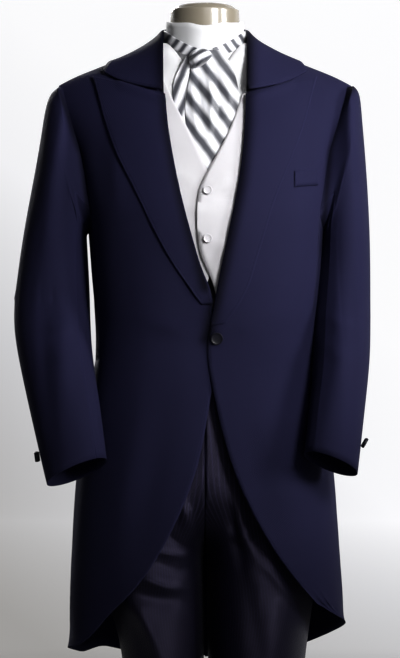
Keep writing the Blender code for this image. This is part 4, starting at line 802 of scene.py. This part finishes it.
SEWN_EDGE = sewn_edge_group()
wool, tree, shader = new_material("navy_wool")
twill = place_group(tree, TWILL, Ribs=380.0)
sewn = place_group(tree, SEWN_EDGE)
on_cloth(tree, twill, sewn)
ground = mixed(tree, twill.outputs["Cloud"], (0.0108, 0.0106, 0.0300, 1), (0.0150, 0.0146, 0.0410, 1))
nap = spread(tree, twill.outputs["Nap"], 0.0, 0.5)
napped = mixed(tree, nap, ground, (0.0180, 0.0175, 0.0480, 1))
for name in ("rim", "sewn"):
    distance = add_node(tree, "ShaderNodeAttribute", attribute_name=name)
    tree.links.new(distance.outputs["Fac"], sewn.inputs[name.capitalize()])
worn = mixed(tree, sewn.outputs["Worn"], napped, (0.0190, 0.0186, 0.0540, 1))
# Painted shade: the wool turns darker along the lapels' roll lines and the armhole seams, in place of
# the shade that falls in these folds.
fold = add_node(tree, "ShaderNodeAttribute", attribute_name="painted_fold_shade")
with_painted_fold_shade = mixed(tree, fold.outputs["Fac"], worn, (0.0022, 0.0021, 0.0060, 1))
threaded = mixed(tree, sewn.outputs["Thread"], with_painted_fold_shade, (0.0085, 0.0084, 0.0270, 1))
tree.links.new(threaded, shader.inputs["Base Color"])
tree.links.new(spread(tree, twill.outputs["Nap"], 0.62, 0.82), shader.inputs["Roughness"])
cloth = raise_surface(tree, shader, twill.outputs["Height"], 0.00022)
raise_surface(tree, shader, sewn.outputs["Height"], 0.00015, cloth)
shader.inputs["Sheen Weight"].default_value = 0.02
shader.inputs["Sheen Roughness"].default_value = 0.5
shader.inputs["Sheen Tint"].default_value = (0.55, 0.55, 0.85, 1.0)
shader.inputs["Specular IOR Level"].default_value = 0.06

COAT_FOLDS = (
    ("front", 0.016, -0.0030, ((-0.168, 1.500), (-0.160, 1.430), (-0.156, 1.360))),
    ("front", 0.018, 0.0035, ((-0.150, 1.480), (-0.142, 1.400), (-0.140, 1.330))),
    ("front", 0.016, -0.0022, ((0.166, 1.500), (0.160, 1.430), (0.158, 1.360))),
    ("front", 0.018, 0.0025, ((0.148, 1.370), (0.144, 1.310), (0.140, 1.250))),
    ("front", 0.012, 0.0022, ((0.030, 1.156), (0.070, 1.172), (0.120, 1.180))),
    ("front", 0.011, -0.0016, ((0.030, 1.142), (0.070, 1.148), (0.118, 1.150))),
    ("front", 0.012, 0.0022, ((-0.030, 1.158), (-0.070, 1.176), (-0.118, 1.186))),
    ("front", 0.011, -0.0016, ((-0.030, 1.142), (-0.070, 1.148), (-0.118, 1.152))),
    ("front", 0.030, 0.0050, ((0.105, 1.060), (0.120, 0.960), (0.140, 0.860), (0.160, 0.760))),
    ("front", 0.024, -0.0030, ((0.060, 1.060), (0.078, 0.980), (0.098, 0.900), (0.120, 0.820))),
    ("front", 0.030, 0.0050, ((-0.105, 1.060), (-0.118, 0.960), (-0.136, 0.860), (-0.150, 0.760))),
    ("front", 0.024, -0.0030, ((-0.060, 1.060), (-0.076, 0.980), (-0.094, 0.900), (-0.112, 0.820))),
    ("left", 0.030, 0.0060, ((0.000, 1.060), (0.004, 0.960), (0.008, 0.840), (0.010, 0.680))),
    ("right", 0.030, 0.0060, ((0.000, 1.060), (0.004, 0.960), (0.008, 0.840), (0.010, 0.680))),
    ("left", 0.024, -0.0030, ((0.060, 1.040), (0.064, 0.940), (0.068, 0.840), (0.070, 0.700))),
    ("right", 0.024, -0.0030, ((0.060, 1.040), (0.064, 0.940), (0.068, 0.840), (0.070, 0.700))),
    ("back", 0.030, 0.0050, ((0.120, 1.060), (0.128, 0.900), (0.134, 0.760), (0.136, 0.640))),
    ("back", 0.030, 0.0050, ((-0.120, 1.060), (-0.128, 0.900), (-0.134, 0.760), (-0.136, 0.640))),
    ("back", 0.022, 0.0030, ((0.100, 1.440), (0.112, 1.380), (0.118, 1.300), (0.110, 1.220))),
    ("back", 0.022, 0.0030, ((-0.100, 1.440), (-0.112, 1.380), (-0.118, 1.300), (-0.110, 1.220))),
    ("back", 0.012, 0.0022, ((-0.090, 1.160), (-0.040, 1.166), (0.040, 1.166), (0.090, 1.160))),
    ("back", 0.012, -0.0016, ((-0.090, 1.180), (-0.040, 1.188), (0.040, 1.188), (0.090, 1.180))),
    ("left", 0.070, 0.0070, ((-0.010, 1.370), (-0.010, 1.240), (-0.010, 1.120), (-0.010, 1.020))),
    ("right", 0.060, 0.0030, ((-0.010, 1.220), (-0.010, 1.140), (-0.010, 1.040))),
)
ROLL_LINES = (
    ("front", 0.010, -0.0045, (
        (0.0030, 1.150), (0.0160, 1.210), (0.0287, 1.273),
        (0.0545, 1.398), (0.0648, 1.493), (0.0700, 1.640))),
    ("front", 0.010, -0.0045, (
        (-0.0000, 1.232), (-0.0104, 1.273), (-0.0285, 1.335),
        (-0.0441, 1.398), (-0.0612, 1.493), (-0.0700, 1.640))),
)
ARMHOLES = (
    ("front", 0.006, -0.0012, (
        (-0.243, 1.548), (-0.226, 1.505), (-0.199, 1.445), (-0.186, 1.342), (-0.185, 1.290))),
    ("front", 0.006, -0.0012, (
        (0.250, 1.562), (0.226, 1.518), (0.201, 1.450), (0.190, 1.333), (0.184, 1.290))),
)
# Painted shade along the lapels' roll lines and the armhole seams, each with its path, its half width
# and how dark it is painted.
PAINTED_FOLD_SHADE = (
    *((path, 0.0120, 1.0) for _, _, _, path in ROLL_LINES),
    *((path, 0.0045, 0.8) for _, _, _, path in ARMHOLES),
)
FRONT_ENDS = 0.02


def mark_painted_fold_shade(piece):
    """How much painted shade each point takes: a darkening painted along the lapels' roll lines and the
    seams of the armholes, in place of the shade in these folds. Each of these has its path, its half
    width and how dark it is painted.
    """
    points = points_of(piece)
    near = np.zeros(len(points))
    for path, half, share in PAINTED_FOLD_SHADE:
        distance, _ = along_path(points[:, (0, 2)], path)
        near = np.maximum(near, share * np.exp(-(distance / half) ** 2) * (points[:, 1] < FRONT_ENDS))
    piece.data.attributes.new("painted_fold_shade", "FLOAT", "POINT").data.foreach_set("value", near)


TAIL_X = (0.135, 0.185)
TAIL_BACK = 0.110
TAIL_TOP = 0.760
TAIL_DROP = 0.019


def lower_corner(piece):
    """Lets the tail's outer corner on the wearer's right hang lower and rounder."""
    for vertex in piece.data.vertices:
        x, y, z = vertex.co
        outer = ramp(-x, *TAIL_X) * ramp(TAIL_BACK - y, 0.0, 0.050)
        vertex.co.z -= TAIL_DROP * outer * ramp(TAIL_TOP - z, 0.0, 0.110)


trunk = middle_line([
    f"coat_{panel}_{hand}"
    for panel in ("forepart", "side", "back", "skirt") for hand in ("left", "right")])


def coat_piece(
        name, nodes, cut, rests_on, levels=2, folds=COAT_FOLDS, line=trunk, stitched=None,
        swell=0.0, **options):
    """A panel of the coat in its wool, draped, with the painted shade along its folds marked."""
    piece = smooth_copy(name, nodes, levels, **options)
    mark_rims(piece, stitched)
    # Marks where the painted shade darkens the wool along the roll lines and armholes.
    mark_painted_fold_shade(piece)
    drape(piece, line, folds)
    if line is trunk:
        lower_corner(piece)
    points = points_of(piece)
    points += outward(points, line) * swell
    piece.data.vertices.foreach_set("co", points.ravel())
    lay_weave(piece, line)
    piece.data.materials.append(wool)
    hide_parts(*nodes)
    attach(piece, "root")
    return piece


for hand, front, side, back in (
        ("left", 0.2437, 0.0352, 0.1592), ("right", 0.2673, 0.0352, 0.1700)):
    coat_piece(f"coat_front_{hand}", [f"coat_forepart_{hand}", f"coat_skirt_{hand}"],
               (0.46, 0.97, front), ["form_torso"], folds=COAT_FOLDS + ROLL_LINES + ARMHOLES,
               stitched=lambda point: point.z < STITCHED_BELOW and point.y < 0, weld=SEAM_GAP)
    coat_piece(f"coat_side_panel_{hand}", [f"coat_side_{hand}"], (0.19, 0.24, side), ["form_torso"])
    coat_piece(f"coat_back_tail_{hand}", [f"coat_back_{hand}"], (0.27, 1.02, back), ["form_torso"])

# Lapels and collar
# The fronts' own cloth folded back to a pointed peak, and a collar whose stand and leaf are one
# folded strip. A row of tiny stitches runs near the edges.
LAPEL_ENDS = {
    "left": (("front", 0.014, -0.0034, ((-0.020, 1.140), (0.012, 1.172), (0.040, 1.206))),),
    "right": (),
}
GORGE_X, GORGE_Z, GORGE_SLOPE = 0.0996, 1.540, 0.409
GORGE_END = 0.147
GORGE_BAND = 0.010
GORGE_RUN = 0.0050


def close_gorge(piece):
    """Runs a lapel's upper edge into the collar, so that their seam lies flat."""
    for vertex in piece.data.vertices:
        x, y, z = vertex.co
        above = z - (GORGE_Z + GORGE_SLOPE * (abs(x) - GORGE_X))
        if abs(x) < GORGE_END and y < 0 and abs(above) < GORGE_BAND:
            share = (1 - abs(above) / GORGE_BAND) * ramp(GORGE_END - abs(x), 0, 0.012)
            vertex.co.z += GORGE_RUN * share


for hand, area in (("left", 0.0296), ("right", 0.0282)):
    piece = coat_piece(
        f"coat_lapel_{hand}_roll", [f"coat_lapel_{hand}"], (0.135, 0.42, area),
        [f"coat_forepart_{hand}"], folds=COAT_FOLDS + ROLL_LINES + LAPEL_ENDS[hand],
        stitched=lambda point: True, crease=70)
    close_gorge(piece)
coat_piece("coat_collar_roll", ["coat_collar"], (0.54, 0.125, 0.0590),
           ["coat_forepart_left", "coat_forepart_right", "coat_back_left", "coat_back_right"],
           stitched=lambda point: True, crease=75)

WELT_SET_IN = 0.0009
piece = coat_piece(
    "coat_chest_welt_strip", ["coat_chest_welt"], (0.039, 0.037, 0.00143), ["coat_forepart_left"])
for vertex in piece.data.vertices:
    vertex.co.y += WELT_SET_IN

# Sleeves
# Two-piece sleeves with a full head set into the armhole, bent forward at the elbow as an arm
# hangs. Soft folds gather inside the elbow, and a drape falls from the shoulder to the forearm.
SLEEVE_FOLDS = {
    "right": (
        ("front", 0.014, 0.0040, ((-0.236, 1.520), (-0.244, 1.440), (-0.250, 1.360), (-0.252, 1.290))),
        ("front", 0.012, -0.0030, ((-0.216, 1.480), (-0.222, 1.400), (-0.226, 1.330))),
        ("front", 0.014, 0.0040, ((-0.210, 1.260), (-0.222, 1.200), (-0.226, 1.130), (-0.220, 1.040))),
        ("front", 0.012, -0.0030, ((-0.250, 1.250), (-0.258, 1.170), (-0.250, 1.080), (-0.238, 0.990))),
        ("front", 0.010, 0.0035, ((-0.196, 1.190), (-0.220, 1.172), (-0.250, 1.166))),
        ("front", 0.010, 0.0030, ((-0.194, 1.145), (-0.214, 1.124), (-0.240, 1.114))),
        ("right", 0.016, 0.0040, ((0.030, 1.240), (0.020, 1.200), (-0.010, 1.160))),
        ("back", 0.014, 0.0040, ((-0.290, 1.210), (-0.260, 1.190), (-0.225, 1.196))),
    ),
    "left": (
        ("front", 0.014, 0.0030, ((0.230, 1.520), (0.236, 1.440), (0.240, 1.360), (0.240, 1.290))),
        ("front", 0.014, 0.0032, ((0.206, 1.260), (0.212, 1.200), (0.214, 1.130), (0.206, 1.040))),
        ("front", 0.012, -0.0024, ((0.236, 1.250), (0.238, 1.170), (0.234, 1.080), (0.224, 0.990))),
        ("front", 0.010, 0.0030, ((0.192, 1.190), (0.212, 1.174), (0.236, 1.168))),
        ("front", 0.010, 0.0026, ((0.190, 1.145), (0.208, 1.126), (0.230, 1.116))),
        ("left", 0.016, 0.0036, ((0.030, 1.240), (0.020, 1.200), (-0.010, 1.160))),
        ("right", 0.070, 0.0070, ((-0.010, 1.370), (-0.014, 1.240), (-0.040, 1.140), (-0.060, 1.060))),
        ("back", 0.014, 0.0036, ((0.250, 1.210), (0.226, 1.190), (0.205, 1.196))),
    ),
}
SLEEVE_CUT = {
    "left": ((0.29, 0.64, 0.138), (0.12, 0.44, 0.0405)),
    "right": ((0.32, 0.66, 0.163), (0.13, 0.45, 0.0434)),
}
SLEEVE_NODES = {
    "left": (["coat_top_sleeve_left"], ["coat_under_sleeve_left"]),
    "right": (
        ["coat_top_sleeve_right_upper", "coat_top_sleeve_right_lower"], ["coat_under_sleeve_right"]),
}
SLEEVE_SWELL = 0.0012
HEAD_Z = (1.44, 1.53)
HEAD_X = (0.240, 0.262)
HEAD_TUCK = 0.008


def tuck_head(piece):
    """Draws the inner side of a sleeve's head against the armhole, so that no groove shows."""
    for vertex in piece.data.vertices:
        x, _, z = vertex.co
        inner = ramp(z, *HEAD_Z) * (1 - ramp(abs(x), *HEAD_X))
        vertex.co.x -= math.copysign(HEAD_TUCK * inner, x)


for hand in ("left", "right"):
    arm = middle_line(sum(SLEEVE_NODES[hand], []))
    for half, nodes, cut in zip(("top", "under"), SLEEVE_NODES[hand], SLEEVE_CUT[hand]):
        piece = coat_piece(
            f"coat_sleeve_{half}_{hand}", nodes, cut, [f"coat_forepart_{hand}"], levels=3,
            folds=SLEEVE_FOLDS[hand], line=arm, swell=SLEEVE_SWELL,
            weld=MERGE if len(nodes) == 1 else SEAM_GAP)
        tuck_head(piece)

# Buttons
# Dark horn buttons with a raised rim: one closes the front, one hangs at each cuff and two mark
# the back waist. The waistcoat's two are covered in its own satin.
horn, tree, shader = new_material("horn_button")
grain = place_group(tree, DRAWN_GRAIN, Stretch=(260.0, 260.0, 60.0))
on_object(tree, grain)
tone = mixed(
    tree, grain.outputs["Height"], (0.0020, 0.0020, 0.0045, 1), (0.0050, 0.0050, 0.0110, 1))
shader.inputs["Specular IOR Level"].default_value = 0.25
tree.links.new(tone, shader.inputs["Base Color"])
tree.links.new(spread(tree, grain.outputs["Height"], 0.38, 0.52), shader.inputs["Roughness"])
raise_surface(tree, shader, grain.outputs["Height"], 0.00003)
for node, slot_name, finish in (
        ("coat_button_front", "horn_button", horn),
        ("coat_button_back_left", "horn_button", horn),
        ("coat_button_back_right", "horn_button", horn),
        ("coat_button_cuff_left", "horn_button", horn),
        ("coat_button_cuff_right", "horn_button", horn),
        ("waistcoat_button_top", "white_satin", satin),
        ("waistcoat_button_low", "white_satin", satin)):
    piece = smooth_copy(f"{node}_turned", [node], 2, crease=55)
    lay_weave(piece, middle_line([node]))
    piece.data.materials.append(finish)
    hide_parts(node)
    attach(piece, "root")
